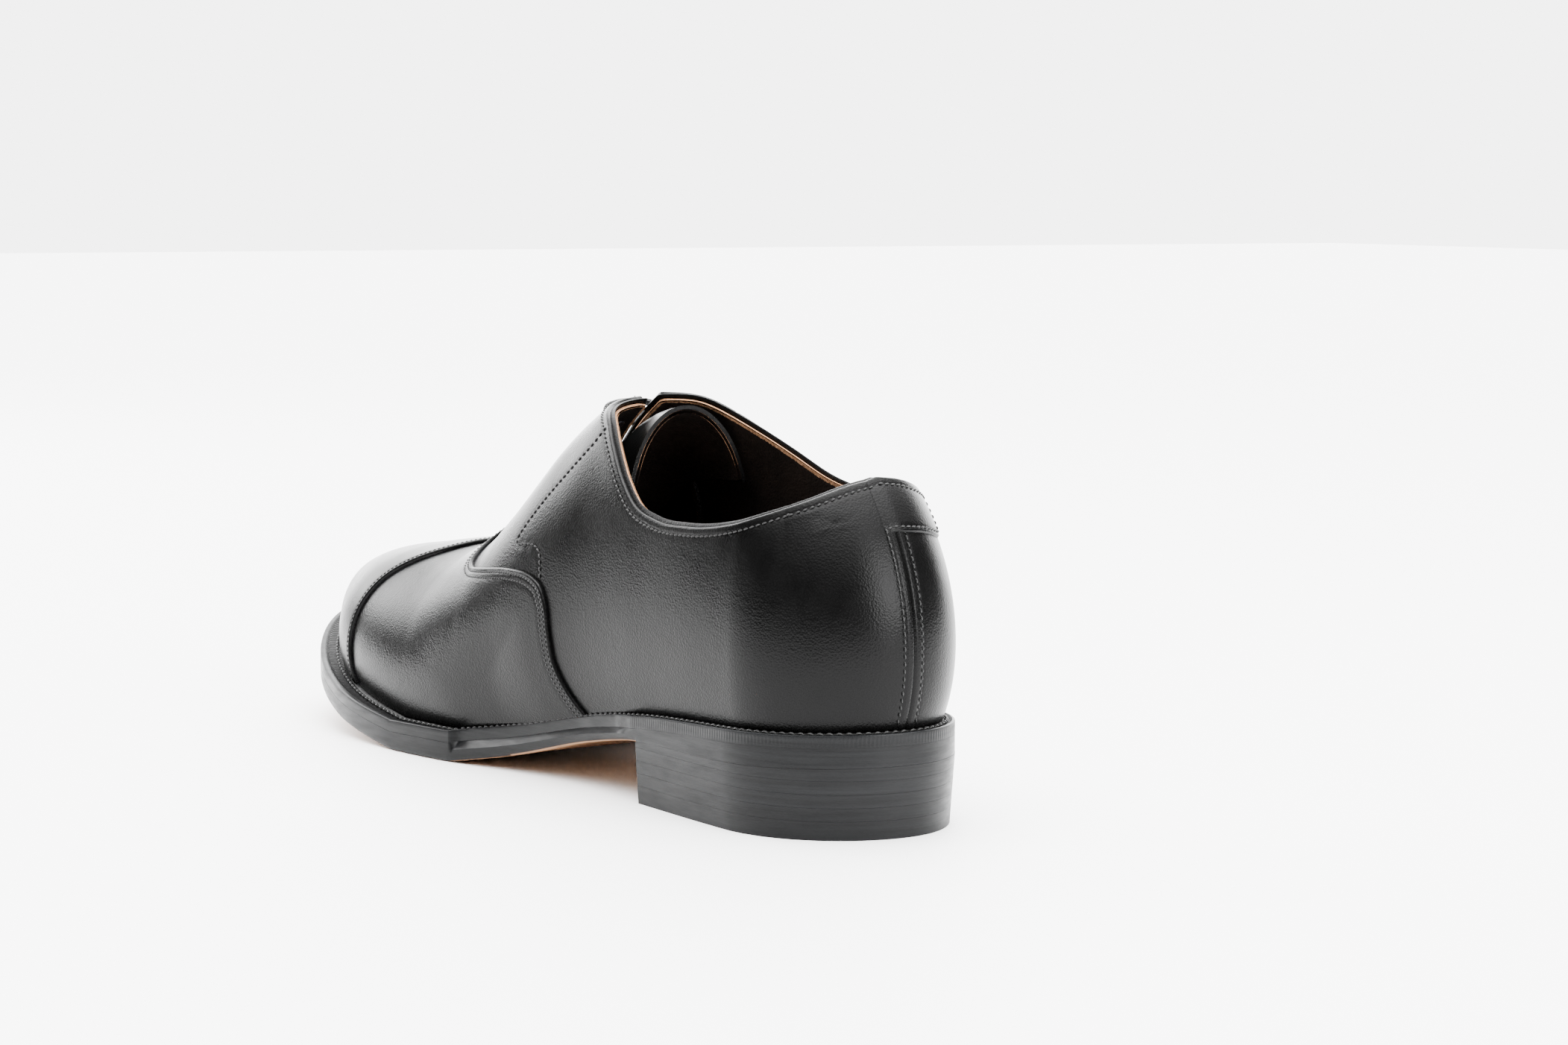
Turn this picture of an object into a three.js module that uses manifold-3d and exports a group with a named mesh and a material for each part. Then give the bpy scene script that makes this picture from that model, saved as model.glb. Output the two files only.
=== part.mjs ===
// Men's left cap-toe oxford, welted all round, with a stacked leather heel.
// Millimetres, +Z up, +X to the toe, +Y to the lateral side, ground at Z = 0.
//
// The outer face of the upper is one surface. A rib stands on the feather edge at each
// station along the last and climbs to the ridge over the instep; a point of the surface is
// (side, t, q): side +1 lateral or -1 medial, t 0 at the heel curve to 1 at the toe, and
// q 0 at the feather edge to 1 on the ridge. Every leather layer is a patch of that surface,
// pushed inwards to its own depth.
import * as THREE from "three";
import { mergeVertices } from "three/addons/utils/BufferGeometryUtils.js";
import Module from "manifold-3d";

// ---- Last ----
const LAST_LENGTH = 290; // heel curve to toe tip
const LAST_WIDTH = 88; // across the ball
const LAST_HEIGHT = 93; // feather edge to ridge at the top of the facings
const HEEL_ROUND = 34; // length over which the heel end rounds off
const TOE_ROUND = 70; // length over which the toe end rounds off
const HEEL_HEIGHT = 18.5; // ground to the outsole over the middle of the heel
const TOE_SPRING = 24.5; // ground to the outsole under the toe tip

// ---- Bottom ----
const OUTSOLE = 5.4; // outsole thickness at the ball
const WELT = 3.6; // welt thickness
const WELT_REACH = 6.5; // how far the welt stands out round the forepart
const INSEAM = 9; // the welt's inner edge, inside the feather edge
const INSOLE = 3;
const SOCK = 1;
const SOCK_END = 0.6; // station at which the sock stops
const HEEL_LENGTH = 78; // back of the last to the heel breast
const BREAST_CURVE = 2.5; // depth of the breast's hollow
const HEEL_TAPER = 1.2; // how much narrower the heel is at the ground
const TOP_PIECE = 5.2;
const LIFT_COUNT = 3;
const SHANK = { from: 45, to: 160, width: 14, thick: 1.2 };
const NAIL_RADIUS = 0.9;
const NAIL_INSET = 11; // nail line inside the heel's edge
const NAIL_PLACES = [-0.27, -0.15, 0, 0.15, 0.27]; // round the heel, as side times t

// ---- Upper ----
const LEATHER = 1.2; // outer leather, quarters, vamp and cap
const BACKER = 0.9; // puff, counter, stays and topline bead
const SIDE_LINING = 0.5;
const LINING = 0.9;
const PLY_GAP = 0.45; // between two leather layers
const GAP = 0.3; // between any other two pieces that touch
const LAP = 9; // how far a piece reaches under the one sewn over it
const LAP_RAMP = 5; // length over which the upper piece comes down again
const CAP_LENGTH = 56; // toe tip to the cap line's foot
const CAP_SWEEP = 20; // how much further back the cap line is on the ridge
const FACING_GAP = 4.6; // between the facings at the top
const THROAT_GAP = 2.4; // between the facings at the throat
const TAIL_REACH = 0.155; // dog tail's end on the medial side, as t
const TAIL_DEPTH = 14; // dog tail's depth below the topline
const COUNTER_HEIGHT = 34; // counter's top over the feather edge
const COUNTER_END = 0.34; // counter's front ends, as t
const BEAD_RISE = 1.4; // bead's edge over the quarter's edge
const BEAD_DEPTH = 4; // bead's hidden part below the quarter's edge
const LINING_DROP = 0.6; // lining's edge below the quarter's edge
const STAY_WIDTH = 17;

// ---- Closing ----
const EYELET_PAIRS = 5;
const EYELET_SPACING = 10.2;
const EYELET_FIRST = 5.5; // top eyelet below the facing's top corner
const EYELET_INSET = 8.5; // eyelet centre from the facing's edge
const HOLE = 1.9; // hole radius in the outer leather
const BARREL = 2.0; // eyelet barrel's outer radius
const BORE = 1.6; // eyelet barrel's inner radius
const FLANGE = 3.2; // eyelet flange's radius
const FLANGE_THICK = 0.4;
const LACE = 2.0; // lace diameter
const AGLET = { radius: 1.3, length: 20 };
const TONGUE = { length: 76, root: 0.548, rise: 17, corner: 5 };
const TONGUE_WIDTH = 0.341 * LAST_WIDTH, TONGUE_TOP = 0.443 * LAST_WIDTH; // root and end

// ---- Colours ----
const BLACK = [0x141414, 0.35];
const SOLE_EDGE = [0x1b1815, 0.45];
const TAN = [0x9a6b45, 0.75];
const DARK_LINING = [0x2b211c, 0.9];

const { max, min, sqrt, cos, sin, PI, abs, hypot, acos } = Math;
const vec = (x, y, z) => new THREE.Vector3(x, y, z);
const clamp = (v, a, b) => max(a, min(b, v));
const smooth = (u) => { const c = clamp(u, 0, 1); return c * c * (3 - 2 * c); };

// A smooth curve through (xs, ys), as a function of x.
function curve(xs, ys) {
  const n = xs.length;
  const slope = xs.slice(1).map((x, i) => (ys[i + 1] - ys[i]) / (x - xs[i]));
  const m = xs.map((_, i) => {
    if (i === 0) return slope[0];
    if (i === n - 1) return slope[n - 2];
    const a = xs[i] - xs[i - 1], b = xs[i + 1] - xs[i];
    return (slope[i - 1] * b + slope[i] * a) / (a + b);
  });
  return (x) => {
    let i = 0;
    while (i < n - 2 && x >= xs[i + 1]) i++;
    const h = xs[i + 1] - xs[i], u = (x - xs[i]) / h;
    const a = u * u * (3 - 2 * u);
    return ys[i] * (1 - a) + ys[i + 1] * a
      + h * u * (1 - u) * (m[i] * (1 - u) - m[i + 1] * u);
  };
}

// ---- The last's lines, as shares of its length, width and height ----
const lateralWidth = curve([0, .17, .27, .37, .49, .61, .72, .82, 1],
  [.372, .365, .358, .364, .42, .494, .518, .5, .465]);
const medialWidth = curve([0, .17, .27, .37, .49, .61, .72, .82, 1],
  [.321, .334, .313, .273, .295, .375, .438, .455, .435]);
const centreLine = curve([0, .16, .48, .68, .86, 1], [-.02, -.008, 0, -.011, -.034, -.045]);
const heelRise = curve([-.03, .13, .27, .37, .49, .59], [1.08, 1, .946, .703, .243, 0]);
const toeRise = curve([.67, .8, .907, 1.03], [0, .26, .59, 1.14]);
const soleShare = curve([0, .13, .27, .37, .51, .61, .72, .82, .91, 1],
  [.93, .93, .65, .76, 1, 1.04, .96, .89, .81, .78]);
const weltShare = curve([0, .2, .3, .44, .58, .72, 1, 1.05],
  [.49, .52, .46, .34, .69, 1.05, 1.15, 1.15]);
const ridgeAt = curve([0, .055, .2, .303, .683, .803, .907, 1],
  [.152, .166, .214, .303, .676, .783, .848, .897]);
const ridgeRise = curve([0, .055, .2, .303, .355, .414, .476, .545, .614, .683, .752, .82, .907, 1],
  [.98, 1.02, 1.2, 1.17, 1.1, 1.045, .967, .8, .645, .556, .503, .446, .36, .214]);
const ridgeSide = curve([0, .41, .61, .75, .9], [0, -.011, -.023, -.034, -.045]);

// Rib control values at each station: outward bulge in mm, then shares of the rib's
// height and of its run from the feather edge to the ridge.
const RIB = [0, .13, .27, .41, .51, .61, .72, .82, .91, 1];
const ribBulge = curve(RIB, [11, 8, 9, 10, 10, 9, 7, 6, 5, 5]);
const ribLow = curve(RIB, [.3, .27, .22, .25, .28, .32, .38, .42, .44, .46]);
const ribIn = curve(RIB, [.06, 0, -.1, -.17, -.06, .05, .1, .12, .15, .15]);
const ribHigh = curve(RIB, [.7, .66, .65, .77, .79, .85, .92, .98, 1, 1]);
// On the medial side the wall stands out further over the narrow waist.
const medialBulge = curve([0, .15, .3, .4, .52, .65, 1], [0, 1, 5, 6.5, 5, 2, 0]);
const ribTop = curve(RIB, [.55, .55, .6, .63, .58, .52, .5, .5, .5, .5]);

const stationX = (t) => LAST_LENGTH * (1 - cos(PI * t)) / 2;
const stationT = (x) => acos(clamp(1 - 2 * x / LAST_LENGTH, -1, 1)) / PI;
const soleBottom = (x) => {
  const s = x / LAST_LENGTH;
  return (s < .59 ? max(0, HEEL_HEIGHT * heelRise(s)) : 0)
    + (s > .67 ? max(0, TOE_SPRING * toeRise(s)) : 0);
};
const soleTop = (x) => soleBottom(x) + OUTSOLE * soleShare(clamp(x / LAST_LENGTH, 0, 1));
const weltBottom = (x) => soleTop(x) + GAP;
const weltTop = (x) => weltBottom(x) + WELT;
const featherZ = (x) => weltTop(x) + GAP;

// The last's plan outline at station t, moved out by a distance.
function outline(side, t, out = 0) {
  const edge = (tt) => {
    const x = stationX(tt), s = x / LAST_LENGTH;
    const back = sqrt(max(0, 1 - max(0, 1 - x / HEEL_ROUND) ** 2));
    const front = sqrt(max(0, 1 - max(0, (x - LAST_LENGTH + TOE_ROUND) / TOE_ROUND) ** 2));
    const half = LAST_WIDTH * (side > 0 ? lateralWidth(s) : medialWidth(s));
    return [x, side * half * back * front + LAST_WIDTH * centreLine(s)];
  };
  const p = edge(t);
  if (!out) return p;
  const e = 1e-4, a = edge(max(0, t - e)), b = edge(min(1, t + e));
  const dx = b[0] - a[0], dy = b[1] - a[1], l = hypot(dx, dy);
  if (t < 1e-6) return [p[0] - out, p[1]];
  if (t > 1 - 1e-6) return [p[0] + out, p[1]];
  return [p[0] - side * dy / l * out, p[1] + side * dx / l * out];
}

// A point of the upper's outer face. Past the ridge, the heel curve or the toe the
// surface goes on over the other side.
function face(side, t, q) {
  if (t < 0) return face(-side, -t, q);
  if (t > 1) return face(-side, 2 - t, q);
  if (q > 1) return face(-side, t, 2 - q);
  const [fx, fy] = outline(side, t), s = fx / LAST_LENGTH;
  const rx = LAST_LENGTH * ridgeAt(s), ry = LAST_WIDTH * ridgeSide(rx / LAST_LENGTH);
  const fz = featherZ(fx), rise = LAST_HEIGHT * ridgeRise(s);
  const run = max(1e-9, hypot(rx - fx, ry - fy));
  const ex = (rx - fx) / run, ey = (ry - fy) / run;
  const a = s - .002, b = s + .002; // the ridge's slope is taken between these
  const climb = featherZ(LAST_LENGTH * b) - featherZ(LAST_LENGTH * a)
    + LAST_HEIGHT * (ridgeRise(b) - ridgeRise(a));
  const slope = climb / (LAST_LENGTH * (ridgeAt(b) - ridgeAt(a)));
  const k = ribTop(s) * run;
  const extra = side < 0 ? medialBulge(s) : 0;
  const along = [0, -ribBulge(s) - extra, ribIn(s) * run - extra, run - k, run];
  const up = [0, ribLow(s) * rise, ribHigh(s) * rise, rise - k * ex * clamp(slope, -1, 1), rise];
  const p = 1 - q, w = [p ** 4, 4 * p ** 3 * q, 6 * p * p * q * q, 4 * p * q ** 3, q ** 4];
  const inward = w.reduce((sum, c, i) => sum + c * along[i], 0);
  const z = w.reduce((sum, c, i) => sum + c * up[i], 0);
  return vec(fx + ex * inward, fy + ey * inward, fz + z);
}

const STEP = 2e-3;
function normal(side, t, q) {
  const a = face(side, t + STEP, q).sub(face(side, t - STEP, q));
  const b = face(side, t, q + STEP).sub(face(side, t, q - STEP));
  const n = b.cross(a).multiplyScalar(side);
  return n.length() < 1e-9 ? normal(side, t, q - 5 * STEP) : n.normalize();
}
// A point under the outer face, or over it where depth is negative, kept clear of the welt.
const WELT_CLEAR = .25;
function inside(side, t, q, depth) {
  const p = face(side, t, q).addScaledVector(normal(side, t, q), -depth);
  p.z = max(p.z, featherZ(p.x) + WELT_CLEAR);
  return p;
}

// The value of u between a and b at which f, which rises, reaches the target.
function solve(f, target, a, b) {
  for (let i = 0; i < 30; i++) {
    const m = (a + b) / 2;
    if (f(m) < target) a = m; else b = m;
  }
  return (a + b) / 2;
}
const qAtHeight = (side, t, height) =>
  solve((q) => face(side, t, q).z, featherZ(stationX(t)) + height, 0, 1);
const qFromRidge = (side, t, distance) => {
  const ridge = face(side, t, 1);
  return solve((q) => -face(side, t, q).distanceTo(ridge), -distance, 0, 1);
};
const perStation = (side, t, q) => face(side, t + .005, q).distanceTo(face(side, t - .005, q)) / .01;

// ---- Lines on the upper ----
const collarShare = {
  1: curve([0, .07, .137, .183, .23, .29, .331, .361, .38, .398, .42, .468],
    [.712, .69, .648, .616, .585, .57, .586, .637, .712, .795, .89, 1.02]),
  "-1": curve([0, .07, .15, .2, .25, .3, .34, .373, .4, .42, .44, .468],
    [.712, .7, .664, .64, .632, .648, .695, .775, .855, .92, .985, 1.03]),
};
const TOP = .468; // station of the facings' top corners
const THROAT = .548; // station of the throat on the ridge
const seamT = curve([0, .1, .23, .31, .36, .41, .45, .52, .58, .64, .75, 1],
  [.417, .431, .443, .449, .46, .48, .501, .539, .56, .568, .562, THROAT]);
const SEAM_CORNER = .64; // q of the seam's foremost point
const TUCK = 3.48; // the quarter's front edge ahead of the vamp's edge
const TUCK_T = TUCK / LAST_LENGTH, TUCK_Q = .07; // the same, as a station and as q
const capT = (q) => stationT(LAST_LENGTH - CAP_LENGTH - CAP_SWEEP * smooth(q));
const facingHalf = (t) =>
  (FACING_GAP + (THROAT_GAP - FACING_GAP) * clamp((t - TOP) / (THROAT - TOP), 0, 1)) / 2;
const facingQ = (side, t, inset = 0) => qFromRidge(side, t, facingHalf(t) + inset);
function collarQ(side, t, lift = 0, inset = 0) {
  if (t > TOP - .001) return facingQ(side, t, inset);
  const edge = qAtHeight(side, t, LAST_HEIGHT * collarShare[side](t) + lift);
  return t < TOP - .06 ? edge : min(edge, facingQ(side, t, inset));
}
const RAISED = LEATHER + PLY_GAP;
const seamPoints = { 1: [], "-1": [] };
for (const side of [1, -1])
  for (let q = 0; q <= 1.001; q += .02) seamPoints[side].push(face(side, seamT(q), q));
const fromSeam = (side, p) => min(...seamPoints[side].map((s) => s.distanceTo(p)));

// ---- Meshes ----
// Triangles from a list of points, with equal points joined and flat faces dropped.
function closed(points, faces) {
  const ids = new Map(), pos = [], id = points.map((p) => {
    const key = [p.x, p.y, p.z].map((c) => Math.round(c * 1e3)).join();
    if (!ids.has(key)) { ids.set(key, pos.length / 3); pos.push(p.x, p.y, p.z); }
    return ids.get(key);
  });
  const index = [];
  for (const f of faces) {
    const [a, b, c] = f.map((i) => id[i]);
    if (a !== b && b !== c && c !== a) index.push(a, b, c);
  }
  const at = (i) => vec(...pos.slice(3 * i, 3 * i + 3));
  let volume = 0;
  for (let i = 0; i < index.length; i += 3)
    volume += at(index[i]).dot(at(index[i + 1]).cross(at(index[i + 2])));
  if (volume < 0)
    for (let i = 0; i < index.length; i += 3)
      [index[i], index[i + 1]] = [index[i + 1], index[i]];
  return new THREE.BufferGeometry()
    .setAttribute("position", new THREE.Float32BufferAttribute(pos, 3)).setIndex(index);
}

// A wall between an outer and an inner grid. place(u, w) gives both points, for u in the
// list us and w from 0 to 1. A glued wall's far edge meets itself, so it has no rim.
function wall(us, rows, place, glued = false) {
  const points = [], faces = [], n = us.length - 1;
  for (const u of us)
    for (let k = 0; k <= rows; k++) points.push(...place(u, k / rows));
  const o = (i, k) => 2 * (i * (rows + 1) + k), v = (i, k) => o(i, k) + 1;
  const quad = (a, b, c, d) => faces.push([a, b, c], [a, c, d]);
  for (let i = 0; i < n; i++)
    for (let k = 0; k < rows; k++) {
      quad(o(i, k), o(i + 1, k), o(i + 1, k + 1), o(i, k + 1));
      quad(v(i, k), v(i, k + 1), v(i + 1, k + 1), v(i + 1, k));
    }
  for (let i = 0; i < n; i++) {
    quad(o(i + 1, 0), o(i, 0), v(i, 0), v(i + 1, 0));
    if (!glued) quad(o(i, rows), o(i + 1, rows), v(i + 1, rows), v(i, rows));
  }
  for (let k = 0; k < rows; k++) {
    quad(o(0, k), o(0, k + 1), v(0, k + 1), v(0, k));
    quad(o(n, k + 1), o(n, k), v(n, k), v(n, k + 1));
  }
  return closed(points, faces);
}

const steps = (a, b, n) => Array.from({ length: n + 1 }, (_, i) => a + (b - a) * i / n);
const chain = (...lists) => lists.flatMap((l, i) => (i ? l.slice(1) : l));

// A patch across the ridge, from one feather edge to the other: u runs -1 to 1.
function across(us, rows, from, to, depth, thick, glued) {
  return wall(us, rows, (u, w) => {
    const side = u < 0 ? -1 : 1, q = 1 - abs(u);
    const t = from(side, q) + (to(side, q) - from(side, q)) * w;
    const d = depth(side, t, q);
    return [inside(side, t, q, d), inside(side, t, q, d + thick)];
  }, glued);
}
// A patch along the side, from low to high: u is the station, negative past the heel curve.
function along(side, us, rows, low, high, depth, thick) {
  return wall(us, rows, (u, w) => {
    const s = u < 0 ? -side : side, t = abs(u);
    const q = low(u) + (high(u) - low(u)) * (1 - (1 - w) ** 1.5), d = depth(s, u, q);
    return [inside(s, t, q, d), inside(s, t, q, d + thick)];
  });
}

// A closed loop of equal sections.
function loop(sections) {
  const n = sections.length, m = sections[0].length, faces = [];
  for (let i = 0; i < n; i++)
    for (let k = 0; k < m; k++) {
      const a = i * m + k, b = ((i + 1) % n) * m + k;
      const c = ((i + 1) % n) * m + (k + 1) % m, d = i * m + (k + 1) % m;
      faces.push([a, b, c], [a, c, d]);
    }
  return closed(sections.flat(), faces);
}

// A layer of the bottom: its outline stands out from the feather edge by out(x), from the
// heel to station end, between the heights low(x) and high(x).
function layer(us, out, low, high, rows = 1, warp = (p) => p) {
  return wall(us, rows, (t, w) => {
    const [l, m] = [1, -1].map((side) => outline(side, t, out(stationX(t))));
    const [x, y] = warp([l[0] + (m[0] - l[0]) * w, l[1] + (m[1] - l[1]) * w]);
    return [vec(x, y, high(x)), vec(x, y, low(x))];
  });
}

// A round bar along a path, with flat ends.
function bar(points, radius, sides) {
  const n = points.length, rings = [];
  let up = null;
  for (let i = 0; i < n; i++) {
    const dir = points[min(n - 1, i + 1)].clone().sub(points[max(0, i - 1)]).normalize();
    if (!up) up = abs(dir.z) < .9 ? vec(0, 0, 1) : vec(1, 0, 0);
    up.addScaledVector(dir, -up.dot(dir)).normalize();
    const aside = dir.clone().cross(up);
    for (let k = 0; k < sides; k++) {
      const a = 2 * PI * k / sides;
      rings.push(points[i].clone().addScaledVector(up, radius * cos(a))
        .addScaledVector(aside, radius * sin(a)));
    }
  }
  const faces = [];
  for (let i = 0; i < n - 1; i++)
    for (let k = 0; k < sides; k++) {
      const a = i * sides + k, b = i * sides + (k + 1) % sides;
      faces.push([a, b, b + sides], [a, b + sides, a + sides]);
    }
  const last = (n - 1) * sides;
  for (let k = 1; k < sides - 1; k++)
    faces.push([0, k + 1, k], [last, last + k, last + k + 1]);
  return closed(rings, faces);
}

const wasm = await Module();
wasm.setup();
function manifold(geometry) {
  const plain = new THREE.BufferGeometry()
    .setAttribute("position", geometry.getAttribute("position")).setIndex(geometry.index);
  const g = mergeVertices(plain, 1e-3);
  return new wasm.Manifold(new wasm.Mesh({
    numProp: 3, vertProperties: g.attributes.position.array,
    triVerts: new Uint32Array(g.index.array),
  }));
}
function cut(geometry, tools) {
  let solid = manifold(geometry);
  for (const tool of tools) solid = solid.subtract(manifold(tool));
  const mesh = solid.getMesh();
  return new THREE.BufferGeometry()
    .setAttribute("position", new THREE.BufferAttribute(mesh.vertProperties, 3))
    .setIndex(new THREE.BufferAttribute(mesh.triVerts, 1));
}

const shoe = new THREE.Group();
function piece(name, geometry, [color, roughness], metalness = 0) {
  const flat = geometry.index ? geometry.toNonIndexed() : geometry;
  flat.computeVertexNormals();
  const mesh = new THREE.Mesh(flat,
    new THREE.MeshStandardMaterial({ color, roughness, metalness }));
  mesh.name = name;
  shoe.add(mesh);
}

// ---- Bottom: outsole, welt, cork and shank, insole and sock ----
const reach = (x) => WELT_REACH * weltShare(clamp(x / LAST_LENGTH, 0, 1));
// Two of these stations lie where the sole is flat on the ground.
const PLAN = chain([0, .03, .06, .1], steps(.1, .9, 24), [.9, .94, .97, 1]);
piece("outsole", layer(PLAN, reach, soleBottom, soleTop), SOLE_EDGE);

const loopStations = [...PLAN.slice(0, -1).map((t) => [1, t]),
  ...PLAN.slice(1).reverse().map((t) => [-1, t])];
piece("welt", loop(loopStations.map(([side, t]) => {
  const [ox, oy] = outline(side, t, reach(stationX(t)));
  const [ix, iy] = outline(side, t, -INSEAM);
  return [vec(ox, oy, weltBottom(ox)), vec(ox, oy, weltTop(ox)),
    vec(ix, iy, weltTop(ix)), vec(ix, iy, weltBottom(ix))];
})), SOLE_EDGE);

const strip = (from, to, half, low, high) => wall(steps(from, to, 10), 1, (x, w) => {
  const y = LAST_WIDTH * centreLine(x / LAST_LENGTH) + half * (1 - 2 * w);
  return [vec(x, y, high(x)), vec(x, y, low(x))];
});
const shankTop = (x) => weltBottom(x) + SHANK.thick;
const cork = layer(PLAN, () => -INSEAM - GAP, weltBottom, weltTop);
const slot = strip(SHANK.from - GAP, SHANK.to + GAP, SHANK.width / 2 + GAP,
  (x) => weltBottom(x) - 1, (x) => shankTop(x) + GAP);
piece("cork_filler", cut(cork, [slot]), [0x8a6a48, 0.95]);
piece("shank", strip(SHANK.from, SHANK.to, SHANK.width / 2, weltBottom, shankTop),
  [0x8d9094, 0.4], 0.9);

const PLIES = LEATHER + BACKER + LINING + 2 * PLY_GAP;
const insoleTop = (x) => featherZ(x) + INSOLE;
piece("insole", layer(PLAN, () => -PLIES - PLY_GAP, featherZ, insoleTop, 2), TAN);
piece("sock_liner", layer([0, .04, .1, ...steps(.15, SOCK_END, 12)],
  () => -PLIES - 2 * PLY_GAP, (x) => insoleTop(x) + 2 * GAP,
  (x) => insoleTop(x) + 2 * GAP + SOCK, 2), DARK_LINING);

// ---- Heel: rand, lifts, top piece and nails ----
const RAND = 1.4; // rand thickness at the breast
const heelPlan = [0, .03, .06, .1, ...steps(.14, stationT(HEEL_LENGTH), 8)];
const hollow = ([x, y]) => {
  const bow = max(0, 1 - (y / (LAST_WIDTH * lateralWidth(HEEL_LENGTH / LAST_LENGTH))) ** 2);
  return [x - BREAST_CURVE * bow * smooth(x / HEEL_LENGTH), y];
};
const liftRoom = soleBottom(HEEL_LENGTH) - TOP_PIECE - RAND - GAP * (LIFT_COUNT + 2);
const LIFT = liftRoom / LIFT_COUNT;
const heelLayer = (low, high) => layer(heelPlan,
  (x) => reach(x) - HEEL_TAPER * (1 - low(x) / HEEL_HEIGHT), low, high, 4, hollow);
const nailAxes = NAIL_PLACES.map((u) => outline(u < 0 ? -1 : 1, abs(u), -NAIL_INSET));
const pin = (x, y, radius, low, high, sides = 6) => {
  const g = new THREE.CylinderGeometry(radius, radius, high - low, sides);
  return g.rotateX(PI / 2).translate(x, y, (low + high) / 2);
};
const nailHoles = nailAxes.map(([x, y]) =>
  pin(x, y, NAIL_RADIUS + GAP + .1, TOP_PIECE - 1, HEEL_HEIGHT + 5));
piece("heel_top_piece", heelLayer(() => 0, () => TOP_PIECE), SOLE_EDGE);
const liftLow = (i) => TOP_PIECE + GAP + i * (LIFT + GAP);
for (let i = 0; i < LIFT_COUNT; i++)
  piece(`heel_lift_${i + 1}`,
    cut(heelLayer(() => liftLow(i), () => liftLow(i) + LIFT), nailHoles), SOLE_EDGE);
piece("heel_rand", cut(heelLayer(() => liftLow(LIFT_COUNT),
  (x) => soleBottom(x) - GAP), nailHoles), SOLE_EDGE);
nailAxes.forEach(([x, y], i) => piece(`heel_nail_${i + 1}`,
  pin(x, y, NAIL_RADIUS, TOP_PIECE + GAP, soleBottom(x) - GAP), [0xb08d57, 0.35], 0.9));

// ---- Eyelets' places ----
function downFacing(side, distance) {
  let t = TOP;
  for (let run = 0; run < distance; t += 5e-4) run += perStation(side, t, .9) * 5e-4;
  return t;
}
const eyelets = { 1: [], "-1": [] };
for (const side of [1, -1])
  for (let i = EYELET_PAIRS - 1; i >= 0; i--) {
    const t = downFacing(side, EYELET_FIRST + i * EYELET_SPACING);
    const q = qFromRidge(side, t, facingHalf(t) + EYELET_INSET);
    eyelets[side].push({ side, t, q, centre: face(side, t, q), axis: normal(side, t, q) });
  }
const down = (eye, depth) => eye.centre.clone().addScaledVector(eye.axis, -depth);
const DRILL_LENGTH = 16;
function drill(eye, radius) {
  const g = new THREE.CylinderGeometry(radius, radius, DRILL_LENGTH, 8);
  g.applyQuaternion(new THREE.Quaternion().setFromUnitVectors(vec(0, 1, 0), eye.axis));
  return g.translate(...eye.centre.toArray());
}
const drills = (side, radius) => eyelets[side].map((eye) => drill(eye, radius));

// ---- Upper, outer leather ----
const BACK_SLIT = 8e-4; // half the back seam's slit, as a station
const HEEL_US = chain([.015, .035, .06], steps(.06, .36, 11)); // stations that layers share
const QUARTER_US = [BACK_SLIT, ...HEEL_US, .38, .4, .415, .428, .438, .447, .456];
const plain = () => 0;
const CAP_US = chain(steps(-1, -.5, 5), steps(-.5, .5, 9), steps(.5, 1, 5));
const CAP_LAP = LAP + 2.5; // where the cap starts to come down
const SEAM_LAP = LAP * LAST_LENGTH / 186; // where the vamp does: clear of the quarters' edges
const capDepth = (side, t, q) => {
  const gone = face(side, t, q).distanceTo(face(side, capT(q), q));
  return -RAISED * (1 - smooth((gone - CAP_LAP) / LAP_RAMP));
};
piece("toe_cap", across(CAP_US, 10, (s, q) => capT(q), () => 1, capDepth, LEATHER, true), BLACK);

const lapT = (side, q) => capT(q) + LAP / perStation(side, capT(q), q);
const vampDepth = (side, t, q) =>
  -RAISED * (1 - smooth((fromSeam(side, face(side, t, q)) - SEAM_LAP) / LAP_RAMP));
const half = [0, .1, .2, .28, .34, .39, .44, .49, .54, .59, .63, .67, .75, .87, 1];
const VAMP_US = [...half.slice(1).reverse().map((u) => -u), ...half];
piece("vamp", across(VAMP_US, 11, (side, q) => seamT(q), lapT, vampDepth, LEATHER), BLACK);

const quarterUs = [...QUARTER_US, TOP, .477, .49, .505, .52, .538, .556, .575];
// What lies in front of a line along the seam, through the upper's whole thickness.
const TOOL_END = .65; // station the cutting tool reaches
const TOOL_OVER = 3, TOOL_UNDER = 7; // its reach over and under the outer face
const ahead = (side, moveT, moveQ) => wall(steps(0, SEAM_CORNER, 20), 3, (q, w) => {
  const from = seamT(q + moveQ) + moveT, t = from + (TOOL_END - from) * w;
  const low = q ? q : -.02; // a little below the feather edge, so that nothing is left there
  return [face(side, t, low).addScaledVector(normal(side, t, low), TOOL_OVER),
    face(side, t, low).addScaledVector(normal(side, t, low), -TOOL_UNDER)];
});
const TAIL_ROUND = .04; // stations over which the tail's end rounds off
const tailShape = (u) => sqrt(max(.02, 1 - max(0, (u - TAIL_REACH) / TAIL_ROUND + 1) ** 2));
const tailLow = (t) => qAtHeight(-1, t,
  LAST_HEIGHT * collarShare[-1](t) - TAIL_DEPTH * tailShape(t));
const tailUs = [-TAIL_REACH, -TAIL_REACH + .003, -TAIL_REACH + .01, -TAIL_REACH + .022,
  ...steps(-TAIL_REACH + .04, -.02, 3), -5e-4];
const tailStart = tailLow(0);
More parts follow.
